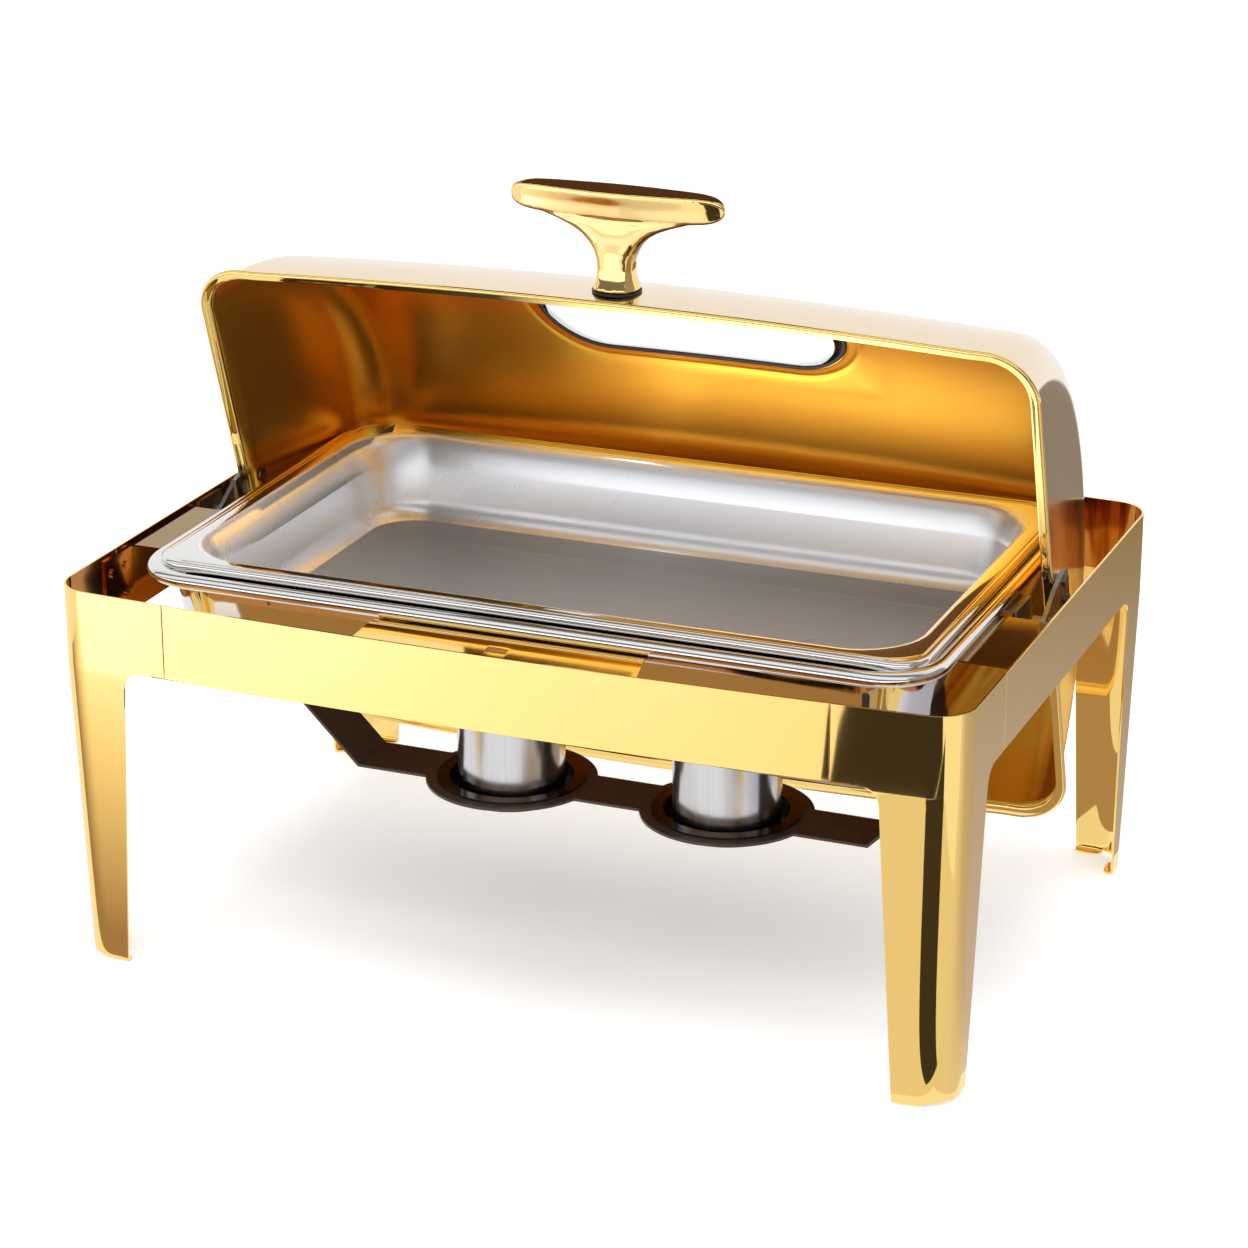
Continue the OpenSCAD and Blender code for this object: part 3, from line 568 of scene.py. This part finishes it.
open_x, open_y = 252.5 * mm, 151 * mm
floor_z = -56.4
food_profile = [(140, floor_z - 1.2, -38), (110, floor_z - 1.2, -36), (80, floor_z - 1.2, -32),
                (52, floor_z - 1.2, -28)]
food_profile += [(46, floor_z - 1.15, -25), (44.4, floor_z - 0.9, -24), (43.0, floor_z - 0.4, -23.2),
                 (41.6, floor_z - 0.1, -22.4), (39, floor_z, -21)]
food_profile += [(37 - x, z, -19 + 14 * i / 12)
                 for i, (x, z) in enumerate(arc(0, floor_z + 25, 25, -90, -9, 12))]
food_profile += [(8.6, -14, -4), (5.0, 0, -2), (3.2, 4, -0.8), (2.2, 6.2, -0.2), (1.2, 7.4, 0.2),
                 (0, 8.2, 0.4), (-1.6, 8.6, 0.4)]
food_n = len(food_profile)
food_profile += [(-4.6, 8.6, -8), (-7.2, 8.6, -19), (-8.2, 8.45, -23), (-8.8, 8.0, -24),
                 (-9.3, 7.7, -24.4), (-10.0, 7.9, -24.6)]
food_profile += [(-10.8 - 1.7 * math.sin(math.radians(d)), 6.4 + 1.8 * math.cos(math.radians(d)), -24.6)
                 for d in range(0, 95, 15)]
food_profile += [(-12.5, 4.5, -24.6), (-12.4, 2.2, -24.8)]
# Painted shade: the floor rows of the food pan, with its pressed line and the lower part of the bend, take
# the darker floor material.
food_tray = pan("food_pan_pressing", food_profile, (open_x, open_y), 46,
                [pan_steel, pan_floor_painted_shade, rim_steel], "food_tray", 1.0 * mm, "food_pan",
                [(-1, 15, 1), (food_n - 1, 99, 2)])
print("food pan points", len(food_tray.data.vertices))

# %% Water pan
wx, wy = water_half.x, water_half.y
water_profile = [(150, -88.8, -25), (110, -88.8, -22), (70, -88.8, -20)]
water_profile += [(46 - x, z, -20 + 16 * i / 10) for i, (x, z) in enumerate(arc(0, -66.8, 22, -90, -4, 10))]
water_profile += [(17, -40, -3), (12.8, -12, -1), (12.1, -3, 0), (12, -0.6, 0), (11.5, 0.7, 0),
                  (10.5, 1.3, -1), (9.4, 1.6, -2.6), (8.6, 2.0, -3.4)]
water_profile += [(4.0 - x, z + 0.9, -4) for x, z in arc(0, 0, 4.0, 165, -75, 16)]
water_tray = pan("water_pan_pressing", water_profile, (wx, wy), 46, [pan_steel, rim_steel], "water_tray",
                 1.0 * mm, "water_pan", [(-1, 99, 1)], offset=-1.0)
print("water pan points", len(water_tray.data.vertices))

# %% [markdown]
# ## The lid
# The lid rolls about its pivots, so its crown is close to a drum. It is a little wider in the
# middle, and the ends fold down in a large bend. The dome is one formula. Around the window the
# grid changes into rings that follow the window's outline, so that the hole has a clean edge and
# the raised line around it can be pressed in.

# %% Lid formula
rim_offset = 29 * mm
roll_end, roll_bow, x_end = 186 * mm, 8 * mm, 275 * mm
lid_half, lid_draft, lid_bend, lid_wall = 290 * mm, 0.09, 30 * mm, 1.2 * mm
lid_turn = Matrix.Translation(pivot) @ Matrix.Rotation(-lid_open, 4, "X")


def roll_r(x):
    return roll_end + roll_bow * (1 - (x / x_end) ** 2)


bend_r0 = roll_r(lid_half - lid_bend - 10 * mm) - lid_bend


def wall_x(z):
    return lid_half - lid_draft * (z - rim_offset)


def bend_x(a):
    return wall_x(bend_r0 * math.cos(a)) - lid_bend


def on_crown(x, a, lift=0.0):
    r = roll_r(x) + lift
    return Vector((x, r * math.sin(a), r * math.cos(a)))


def half_column(k, u):
    """Point k of the half section, from the rim of the right wall to the middle, at row u in -1..1."""
    rc = bend_r0
    if k < wall_cols:
        a = u * math.acos(rim_offset / rc)
        top = rc * math.cos(a)
        z = rim_offset + (top - rim_offset) * k / wall_cols
        return Vector((wall_x(z), rc * math.sin(a), z))
    if k < wall_cols + bend_cols:
        b = math.pi / 2 * (k - wall_cols) / bend_cols
        a = u * math.acos(rim_offset / (rc + lid_bend * math.sin(b)))
        xc = bend_x(a)
        r = roll_r(xc) - lid_bend + lid_bend * math.sin(b) if b > 0 else rc
        a = u * math.acos(rim_offset / r)
        xc = bend_x(a)
        return Vector((xc + lid_bend * math.cos(b), r * math.sin(a), r * math.cos(a)))
    x0 = bend_x(u * 1.4)
    x = x0 * (1 - (k - wall_cols - bend_cols) / crown_cols)
    return on_crown(x, u * math.acos(rim_offset / roll_r(x)))


wall_cols, bend_cols, crown_cols, lid_rows = 8, 12, 26, 112
half_n = wall_cols + bend_cols + crown_cols
print("lid section points", 2 * half_n + 1)

# %% Lid dome with its window
win_x, win_y, win_corner, win_at = 113 * mm, 52 * mm, 44 * mm, math.radians(-30)


def window_reach(dx, dy, grow):
    """Distance from the window's centre to its outline in a direction, with the outline grown."""
    hx, hy, r = win_x + grow, win_y + grow, win_corner + grow
    lo, hi = 0.0, 0.4
    for _ in range(40):
        t = (lo + hi) / 2
        qx, qy = abs(dx * t) - (hx - r), abs(dy * t) - (hy - r)
        inside = math.hypot(max(qx, 0), max(qy, 0)) + min(max(qx, qy), 0) - r < 0
        lo, hi = (t, hi) if inside else (lo, t)
    return lo


def dome_mesh():
    verts, faces, index = [], [], {}
    cols = 2 * half_n + 1
    for i in range(lid_rows + 1):
        u = -1 + 2 * i / lid_rows
        for j in range(cols):
            k = j if j <= half_n else 2 * half_n - j
            v = half_column(k, u)
            if j > half_n:
                v.x = -v.x
            index[i, j] = len(verts)
            verts.append(v)
    r0 = roll_r(0)

    def flat(v):
        return v.x, r0 * (math.atan2(v.y, v.z) - win_at)

    margin = 24 * mm
    inside = {key for key, n in index.items()
              if abs(flat(verts[n])[0]) < win_x + margin and abs(flat(verts[n])[1]) < win_y + margin
              and verts[n].z > 60 * mm}
    i0, i1 = min(i for i, _ in inside), max(i for i, _ in inside)
    j0, j1 = min(j for _, j in inside), max(j for _, j in inside)
    for i in range(lid_rows):
        for j in range(cols - 1):
            if i0 <= i < i1 and j0 <= j < j1:
                continue
            faces.append((index[i, j], index[i + 1, j], index[i + 1, j + 1], index[i, j + 1]))
    edge = [(i0, j) for j in range(j0, j1)] + [(i, j1) for i in range(i0, i1)]
    edge += [(i1, j) for j in range(j1, j0, -1)] + [(i, j0) for i in range(i1, i0, -1)]
    before = [index[e] for e in edge]
    outer = [flat(verts[n]) for n in before]
    rings = [(14, 0), (12, 0.15), (10.5, 0.6), (9, 1.0), (7.5, 0.6), (6, 0.15), (4.5, 0),
             (2, -0.1), (0.6, -0.5), (0, -1.0)]
    for grow, lift in rings:
        ring = []
        for x, y in outer:
            d = math.hypot(x, y)
            t = window_reach(x / d, y / d, grow * mm)
            ring.append(len(verts))
            verts.append(on_crown(x / d * t, y / d * t / r0 + win_at, lift * mm))
        n = len(ring)
        for m in range(n):
            faces.append((before[m], ring[m], ring[(m + 1) % n], before[(m + 1) % n]))
        before = ring
    return [lid_turn @ v for v in verts], faces


dome_v, dome_f = dome_mesh()
dome = make_piece("lid_dome", dome_v, dome_f, [gold_dome, gold_inside, gold], angle=60)
flip_test = dome.data.polygons[len(dome.data.polygons) // 3]
if (flip_test.center - pivot).dot(flip_test.normal) < 0:
    dome.data.flip_normals()
thicken(dome, lid_wall, offset=-1.0, inner=1, rim=2)
place(dome, "lid", ["lid_shell"])
print("lid dome points", len(dome_v))

# %% Rolled bead around the rim
def rim_quarter():
    out = [(lid_half, 154 * mm * k / 12) for k in range(12)]
    for k in range(17):
        b = math.pi / 2 * k / 16
        r = bend_r0 + lid_bend * math.sin(b)
        a = math.acos(rim_offset / r)
        out.append((bend_x(a) + lid_bend * math.cos(b), math.sqrt(r * r - rim_offset ** 2)))
    x0 = out[-1][0]
    for k in range(1, 25):
        x = x0 * (1 - k / 24)
        out.append((x, math.sqrt(roll_r(x) ** 2 - rim_offset ** 2)))
    return out


def rim_line():
    q = rim_quarter()
    line = q + [(-x, y) for x, y in reversed(q[:-1])]
    line += [(-x, -y) for x, y in q[1:]] + [(x, -y) for x, y in reversed(q[1:-1])]
    return [Vector(p) for p in line]


def sweep(line, section, lift):
    """Carries a closed section (out, up) along a closed flat line."""
    n = len(line)
    verts = []
    for i, p in enumerate(line):
        a, b = (p - line[i - 1]).normalized(), (line[(i + 1) % n] - p).normalized()
        t = (a + b).normalized()
        out = Vector((t.y, -t.x))
        for d, z in section:
            verts.append(Vector((p.x + out.x * d, p.y + out.y * d, lift + z)))
    return verts, quads(n, len(section), True, True)


bead_section = [(-1.2 * mm, 0), (-1.2 * mm, -0.8 * mm), (-0.6 * mm, -1.6 * mm), (0.6 * mm, -1.9 * mm)]
bead_section += [(4.6 * mm + x * mm, -1.75 * mm + z * mm) for x, z in arc(0, 0, 1.75, 230, 490, 16)]
bead_section += [(2.2 * mm, -0.5 * mm), (0.9 * mm, -0.25 * mm), (0.2 * mm, 0.0)]
bead_v, bead_f = sweep(rim_line(), bead_section, rim_offset)
bead = make_piece("lid_rolled_edge", [lid_turn @ v for v in bead_v], bead_f, [gold], angle=60)
place(bead, "lid", ["lid_bead"])
print("bead points", len(bead_v))

# %% Window glass and gasket
def window_patch(grow, lift, rings=14, count=120):
    """A curved sheet with the window's outline, from its centre outwards."""
    verts = [on_crown(0, win_at, lift)]
    r0 = roll_r(0)
    for k in range(1, rings + 1):
        for m in range(count):
            ang = 2 * math.pi * m / count
            dx, dy = math.cos(ang), math.sin(ang)
            t = window_reach(dx, dy, grow) * k / rings
            verts.append(on_crown(dx * t, dy * t / r0 + win_at, lift))
    faces = [(0, 1 + m, 1 + (m + 1) % count) for m in range(count)]
    for k in range(rings - 1):
        for m in range(count):
            a, b = 1 + k * count + m, 1 + k * count + (m + 1) % count
            faces.append((a, a + count, b + count, b))
    return [lid_turn @ v for v in verts], faces


glass_v, glass_f = window_patch(-3 * mm, 0.5 * mm)
pane = make_piece("window_pane", glass_v, glass_f, [glass], angle=80)
if (pane.data.polygons[0].center - pivot).dot(pane.data.polygons[0].normal) < 0:
    pane.data.flip_normals()
thicken(pane, 3 * mm)
place(pane, "lid", ["window_glass"])


def gasket_mesh(count=160):
    section = [(0.0, 1.2), (-1.2, 1.5), (-2.6, 1.2), (-3.0, 0.6),
               (-3.0, -2.6), (-2.6, -3.1), (-0.4, -3.1), (0.0, -2.6)]
    r0 = roll_r(0)
    verts = []
    for m in range(count):
        ang = 2 * math.pi * m / count
        dx, dy = math.cos(ang), math.sin(ang)
        for d, lift in section:
            t = window_reach(dx, dy, d * mm)
            verts.append(lid_turn @ on_crown(dx * t, dy * t / r0 + win_at, lift * mm))
    return verts, quads(count, len(section), True, True)


gv, gf = gasket_mesh()
gasket = make_piece("window_seal", gv, gf, [rubber], angle=70)
place(gasket, "lid", ["window_gasket"])
print("window made")

# %% [markdown]
# ## The handle
# The handle is a casting: a flat-topped bar that flows into a waisted neck. Castings have soft
# edges everywhere, so the bar and the neck are lofted separately, fused with a voxel remesh and
# smoothed. That gives the same soft blends as the real pour.

# %% Cast handle
handle_low, handle_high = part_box("handle")
handle_base = Vector((0, (handle_low.y + handle_high.y) / 2, handle_low.z))
handle_h = handle_high.z - handle_low.z
handle_half = handle_high.x


def loft(rings):
    n = len(rings[0])
    verts = [v for r in rings for v in r]
    faces = quads(len(rings), n, False, True)
    faces += [tuple(range(n)), tuple(reversed(range((len(rings) - 1) * n, len(rings) * n)))]
    return verts, faces


def squircle(cx, cy, cz, rx, ry, axis, power=2.6, n=36):
    pts = []
    for i in range(n):
        a = 2 * math.pi * i / n
        c, s = math.cos(a), math.sin(a)
        u = rx * math.copysign(abs(c) ** (2 / power), c)
        w = ry * math.copysign(abs(s) ** (2 / power), s)
        pts.append(Vector((cx, cy + u, cz + w)) if axis == "x" else Vector((cx + u, cy + w, cz)))
    return pts


def handle_mesh():
    neck = []
    for h, hx_, hy_ in ((0, 15.5, 15.5), (1.5, 15.5, 15.5), (4, 14.6, 14.6), (8, 13.2, 13), (14, 12.4, 11.6),
                        (20, 12.8, 10.8), (26, 14.8, 10), (32, 18.6, 9.6), (37, 24, 9.4), (41, 31, 9),
                        (44.5, 40, 8.6), (47.5, 50, 7.6), (50, 58, 6.6), (55, 61, 5.6)):
        neck.append(squircle(0, 0, h * mm, hx_ * mm, hy_ * mm, "z", 2.3 + 0.035 * h))
    bar = []
    for k in range(49):
        x = math.sin(math.pi / 2 * (-1 + 2 * k / 48))
        end = math.sqrt(max(0.0, 1 - abs(x) ** 12))
        top = handle_h / mm - 0.2
        low = 47.0 + 2.6 * x * x
        mid, rz = (top + low) / 2, (top - low) / 2
        deep = 5.6 + 8.6 * (1 - abs(x) ** 1.7)
        shrink = mm * max(end, 0.02)
        ring = squircle(x * handle_half, 0, mid * mm, deep * shrink, rz * shrink, "x", 8.0)
        for p in ring:
            up_part = (p.z / mm - low) / (top - low)
            p.y *= 0.62 + 0.38 * up_part ** 1.5 if up_part > 0 else 0.62
        bar.append(ring)
    v1, f1 = loft(neck)
    v2, f2 = loft([list(reversed(r)) for r in bar])
    n = len(v1)
    return [handle_base + v for v in v1 + v2], f1 + [tuple(n + i for i in f) for f in f2]


hv, hf = handle_mesh()
handle = make_piece("handle_casting", hv, hf, [gold_handle])
mod = handle.modifiers.new("fuse", "REMESH")
mod.mode, mod.voxel_size, mod.use_smooth_shade = "VOXEL", 0.9 * mm, True
mod = handle.modifiers.new("soften", "SMOOTH")
mod.factor, mod.iterations = 0.5, 7
place(handle, "lid", ["handle"])
print("handle", [round(v / mm, 1) for v in handle_high - handle_low])

# %% [markdown]
# ## Parts that keep their CAD shape
# Side ledges, forks, bolts, arms and the burner parts are plain machined or bent shapes that the CAD
# already has right. They only need a finish, so each one gets a material in its slots.

# %% Finishes on CAD nodes
def finish_nodes(names, mat):
    for n in names:
        mesh = nodes[n].data
        mesh.materials.clear()
        mesh.materials.append(mat)
        mesh.shade_smooth()
        mesh.set_sharp_from_angle(angle=math.radians(30))


# Painted shade: the splice plates behind the seams take the darker gold, so the seams read dark.
finish_nodes(["splice_plates"], gold_with_painted_shade)
# Painted shade: the side ledges take the darker gold.
finish_nodes(["ledge_left", "ledge_right"], ledge_gold_painted_shade)
finish_nodes(["hinge_bracket_left", "hinge_bracket_right", "hinge_arm_left", "hinge_arm_right",
              "hinge_pin_left", "hinge_pin_right", "bracket_screws", "lid_rivets", "handle_screw"], zinc)
finish_nodes(["fuel_bracket"], bronze)
finish_nodes(["fuel_holder_left", "fuel_holder_right"], holder_steel)
finish_nodes(["fuel_cup_left", "fuel_cup_right", "fuel_cap_left", "fuel_cap_right"], cup_steel)
finish_nodes(["damper_left", "damper_right"], zinc)
finish_nodes(["handle_washer"], rubber)
print("CAD nodes finished")

# %% [markdown]
# ## Studio
# Polished metal shows its surroundings more than itself. The floor and the air are near white,
# and a few cards that only reflections can see give the darker bands that make the gold read as
# metal.

# %% Floor and light
def floor_material():
    m = bpy.data.materials.new("studio_floor")
    m.use_nodes = True
    bsdf = m.node_tree.nodes["Principled BSDF"]
    bsdf.inputs["Base Color"].default_value = (0.90, 0.90, 0.90, 1)
    bsdf.inputs["Roughness"].default_value = 0.6
    bsdf.inputs["Emission Color"].default_value = (1, 1, 1, 1)
    bsdf.inputs["Emission Strength"].default_value = 0.22
    return m


def stage_mesh(name, verts, faces, mat):
    mesh = bpy.data.meshes.new(name)
    mesh.from_pydata([tuple(v) for v in verts], [], faces)
    mesh.materials.append(mat)
    ob = bpy.data.objects.new(name, mesh)
    scene.collection.objects.link(ob)
    return ob


floor = stage_mesh("floor", [(-9, -9, 0), (9, -9, 0), (9, 9, 0), (-9, 9, 0)], [(0, 1, 2, 3)],
                   floor_material())
floor.visible_glossy = False

world = bpy.data.worlds.new("studio_air")
scene.world = world
world.use_nodes = True
air = world.node_tree.nodes["Background"]
air.inputs["Color"].default_value = (1.0, 1.0, 1.0, 1)
air.inputs["Strength"].default_value = 1.0


def soft_light(name, at, to, size, power, color=(1, 1, 1)):
    light = bpy.data.lights.new(name, "AREA")
    light.shape, light.size, light.size_y = "RECTANGLE", size[0], size[1]
    light.energy, light.color = power, color
    ob = bpy.data.objects.new(name, light)
    ob.location = at
    ob.rotation_euler = (Vector(to) - Vector(at)).to_track_quat("-Z", "Y").to_euler()
    ob.visible_glossy = False
    scene.collection.objects.link(ob)
    return ob


soft_light("key_above", (0.0, -0.6, 2.6), (0, 0, 0.2), (2.2, 1.6), 42)


# %% [markdown]
# A studio shapes metal with flags and cards. The same is done here: a dome with bright and dark
# bands, cards on the floor, and a few inside the lid, in the pan and beside the handle. The camera
# and the soft light don't see them, and only reflections pick them up. They are placed for the
# camera at the end of this script and they stand still when a joint moves.

# %% Reflection cards
def glow(name, color, strength, ramp=None, axis=None, one_sided=False):
    """Emission, plain or following a ramp round the X axis or along one direction."""
    m = bpy.data.materials.new(name)
    m.use_nodes = True
    t = m.node_tree
    t.nodes.remove(t.nodes["Principled BSDF"])
    em = node(t, "ShaderNodeEmission")
    em.inputs["Color"].default_value = (*color, 1)
    em.inputs["Strength"].default_value = strength
    if ramp:
        tc, sep = node(t, "ShaderNodeTexCoord"), node(t, "ShaderNodeSeparateXYZ")
        cr = node(t, "ShaderNodeValToRGB")
        t.links.new(tc.outputs["Object"], sep.inputs["Vector"])
        if axis:
            mr = node(t, "ShaderNodeMapRange")
            mr.inputs["From Min"].default_value, mr.inputs["From Max"].default_value = axis[1], axis[2]
            t.links.new(sep.outputs[axis[0]], mr.inputs["Value"])
            t.links.new(mr.outputs["Result"], cr.inputs["Fac"])
        else:
            com = node(t, "ShaderNodeCombineXYZ")
            gr = node(t, "ShaderNodeTexGradient", gradient_type="RADIAL")
            t.links.new(sep.outputs["Y"], com.inputs["X"])
            t.links.new(sep.outputs["Z"], com.inputs["Y"])
            t.links.new(com.outputs["Vector"], gr.inputs["Vector"])
            t.links.new(gr.outputs["Fac"], cr.inputs["Fac"])
        e = cr.color_ramp.elements
        while len(e) < len(ramp):
            e.new(0.5)
        for el, (pos, v) in zip(e, ramp):
            el.position = pos
            el.color = (v, v, v, 1) if isinstance(v, (int, float)) else (*v, 1)
        t.links.new(cr.outputs["Color"], em.inputs["Color"])
    if one_sided:
        geo, clear = node(t, "ShaderNodeNewGeometry"), node(t, "ShaderNodeBsdfTransparent")
        both = node(t, "ShaderNodeMixShader")
        t.links.new(geo.outputs["Backfacing"], both.inputs["Fac"])
        t.links.new(em.outputs["Emission"], both.inputs[1])
        t.links.new(clear.outputs["BSDF"], both.inputs[2])
        t.links.new(both.outputs["Shader"], t.nodes["Material Output"].inputs["Surface"])
    else:
        t.links.new(em.outputs["Emission"], t.nodes["Material Output"].inputs["Surface"])
    return m


def only_reflected(ob):
    ob.visible_camera = ob.visible_diffuse = ob.visible_shadow = ob.visible_transmission = False
    return ob


def dome_shell(radius, n=48, m=16):
    verts = [(0, 0, radius)]
    for i in range(1, m + 1):
        e = math.pi / 2 * (1 - i / m) - (0.05 if i == m else 0)
        flat, high = radius * math.cos(e), radius * math.sin(e)
        turns = [2 * math.pi * j / n for j in range(n)]
        verts += [(flat * math.cos(a), flat * math.sin(a), high) for a in turns]
    faces = [(0, 1 + j, 1 + (j + 1) % n) for j in range(n)]
    faces += [(1 + i * n + j, 1 + (i + 1) * n + j, 1 + (i + 1) * n + (j + 1) % n, 1 + i * n + (j + 1) % n)
              for i in range(m - 1) for j in range(n)]
    return verts, faces


dome_ramp = [(0.50, 1.0), (0.64, 1.0), (0.70, 0.85), (0.72, 0.22), (0.76, 0.2), (0.785, 1.0), (0.87, 1.1),
             (0.895, 0.2), (0.935, 0.2), (0.955, 1.7), (1.0, 1.7)]
only_reflected(stage_mesh("banded_dome", *dome_shell(6.0), glow("banded_light", (1, 1, 1), 1.0, dome_ramp)))


def card(name, corners, color, strength, ramp=None, axis=None, one_sided=False):
    ob = stage_mesh(name, corners, [(0, 1, 2, 3)], glow(name, color, strength, ramp, axis, one_sided))
    return only_reflected(ob)


def flat(x0, x1, y0, y1, z):
    """Corners of a level card."""
    return [(x0, y0, z), (x1, y0, z), (x1, y1, z), (x0, y1, z)]


dark_brown = (0.08, 0.035, 0.02)

card("floor_white", flat(-6, 6, -6, 6, .0004), (1, 1, 1), 1.0)
# Painted shade: a slightly dimmer, warmer card under the stand stands for its shaded floor in reflections.
card("painted_shade_under_stand", flat(-.28, .28, -.2, .2, .0012), (0.90, 0.88, 0.84), 1.0)
card("floor_ahead", flat(-.9, .16, -1.1, -.62, .0008), (1, 1, 1), 1.0,
     [(0.0, (1.6, 1.6, 2.2)), (0.45, (1.4, 1.35, 1.5)), (1.0, (1.2, 1.08, 1.0))], ("X", -.65, .08))
# Painted shade: this card darkens towards the stand beside the front left leg, for the shade at its foot in
# reflections.
card("painted_shade_by_leg", flat(-.9, -.262, -.64, -.215, .001), (1, 1, 1), 1.25,
     [(0.0, (1.1, 1.08, 1.2)), (0.35, (0.85, 0.76, 0.66)), (1.0, (0.30, 0.21, 0.15))],
     ("Y", -.62, -.24))
card("floor_ahead_right", flat(.16, .6, -.68, -.222, .0008), (0.92, 0.86, 0.82), 0.92)
card("flag_corner", [(.052, -1.1, .0016), (.75, -1.1, .0016), (.62, -.69, .0016), (.106, -.69, .0016)],
     (0.045, 0.035, 0.03), 1.0)
card("flag_stripe", [(.225, -.685, .0018), (.70, -.685, .0018), (.338, -.230, .0018),
                     (.303, -.230, .0018)], (0.05, 0.04, 0.03), 1.0)
card("floor_right", flat(.313, 1.2, -.235, 1.5, .001), (1, 1, 1), 1.0,
     [(0.0, (0.82, 0.78, 0.78)), (0.1, (0.58, 0.53, 0.60)), (0.45, (0.46, 0.42, 0.46)),
      (0.85, (0.29, 0.245, 0.18)), (1.0, (0.27, 0.225, 0.17))], ("Y", -.2, 1.1))
card("side_flag", [(1.7, -1.0, 0), (1.7, 1.4, 0), (1.7, 1.4, 1.6), (1.7, -1.0, 1.6)],
     (0.36, 0.33, 0.27), 1.0)
card("flag_far_right", flat(.05, 2.8, -2.8, -1.15, .001), (0.16, 0.10, 0.06), 1.0)
card("pan_glow", flat(-.25, .25, -.05, .146, .252), (1, 1, 1), 1.0,
     [(0.0, (0.02, 0.02, 0.02)), (0.2, (0.08, 0.07, 0.06)), (0.42, (2.3, 2.3, 2.25)),
      (0.72, (2.6, 2.6, 2.55)), (0.88, (1.6, 1.55, 1.5)), (1.0, (0.5, 0.45, 0.4))],
     ("X", -.25, .25), one_sided=True)
card("floor_far_left", flat(-3.2, -.05, -2.8, -1.12, .001), (1.3, 1.3, 1.45), 1.0)
card("lid_flag", [(-.243, -.03, .27), (-.243, .165, .27), (-.243, .115, .38), (-.243, -.02, .415)],
     (0.06, 0.03, 0.015), 1.0)
card("lid_shade", [(-.06, .155, .335), (.255, .155, .335), (.255, .06, .415), (-.06, .06, .415)],
     (1, 1, 1), 1.0, [(0.0, (0.5, 0.3, 0.12)), (0.5, (0.24, 0.12, 0.04)), (1.0, (0.14, 0.06, 0.02))],
     ("X", -.05, .2), one_sided=True)
# Painted shade: a brown card under the right side of the stand stands for its shaded floor in reflections.
card("painted_shade_under_right", flat(.08, .25, -.2, .3, .0014), (0.42, 0.31, 0.22), 1.0)
card("handle_flag_top", flat(-.2, .12, -.07, .045, .61), dark_brown, 1.0)
card("handle_flag", [(-.18, .045, .5135), (.10, .045, .5135), (.10, .045, .64), (-.18, .045, .64)],
     dark_brown, 1.0)
# Painted reflection: a warm brown card just inside and below the front rail stands for the frame's gold seen
# in the pans and through the gaps.
card("painted_gold_reflection_front", [(-.24, -.2215, .15), (.24, -.2215, .15), (.24, -.2215, .2125),
                    (-.24, -.2215, .2125)], (0.42, 0.20, 0.05), 1.0)
scene.view_settings.view_transform = "Standard"
print("studio ready")

# %% Camera
yaw, pitch, tilt = math.radians(22.226), math.radians(20.487), math.radians(-0.10)
back = Vector((math.sin(yaw) * math.cos(pitch), -math.cos(yaw) * math.cos(pitch), math.sin(pitch)))
right = Vector((math.cos(yaw), math.sin(yaw), 0))
up = back.cross(right)
eye = Vector((0.9051, -2.2040, stand_top + 0.8336))
cam_data = bpy.data.cameras.new("studio_camera")
cam_data.lens, cam_data.sensor_width = 108.36, 36.0
cam_data.clip_end = 60
camera = bpy.data.objects.new("studio_camera", cam_data)
scene.collection.objects.link(camera)
axes = Matrix((right, up, back)).transposed().to_4x4()
camera.matrix_world = Matrix.Translation(eye) @ axes @ Matrix.Rotation(tilt, 4, "Z")
scene.camera = camera
print("camera at", [round(c, 3) for c in eye])
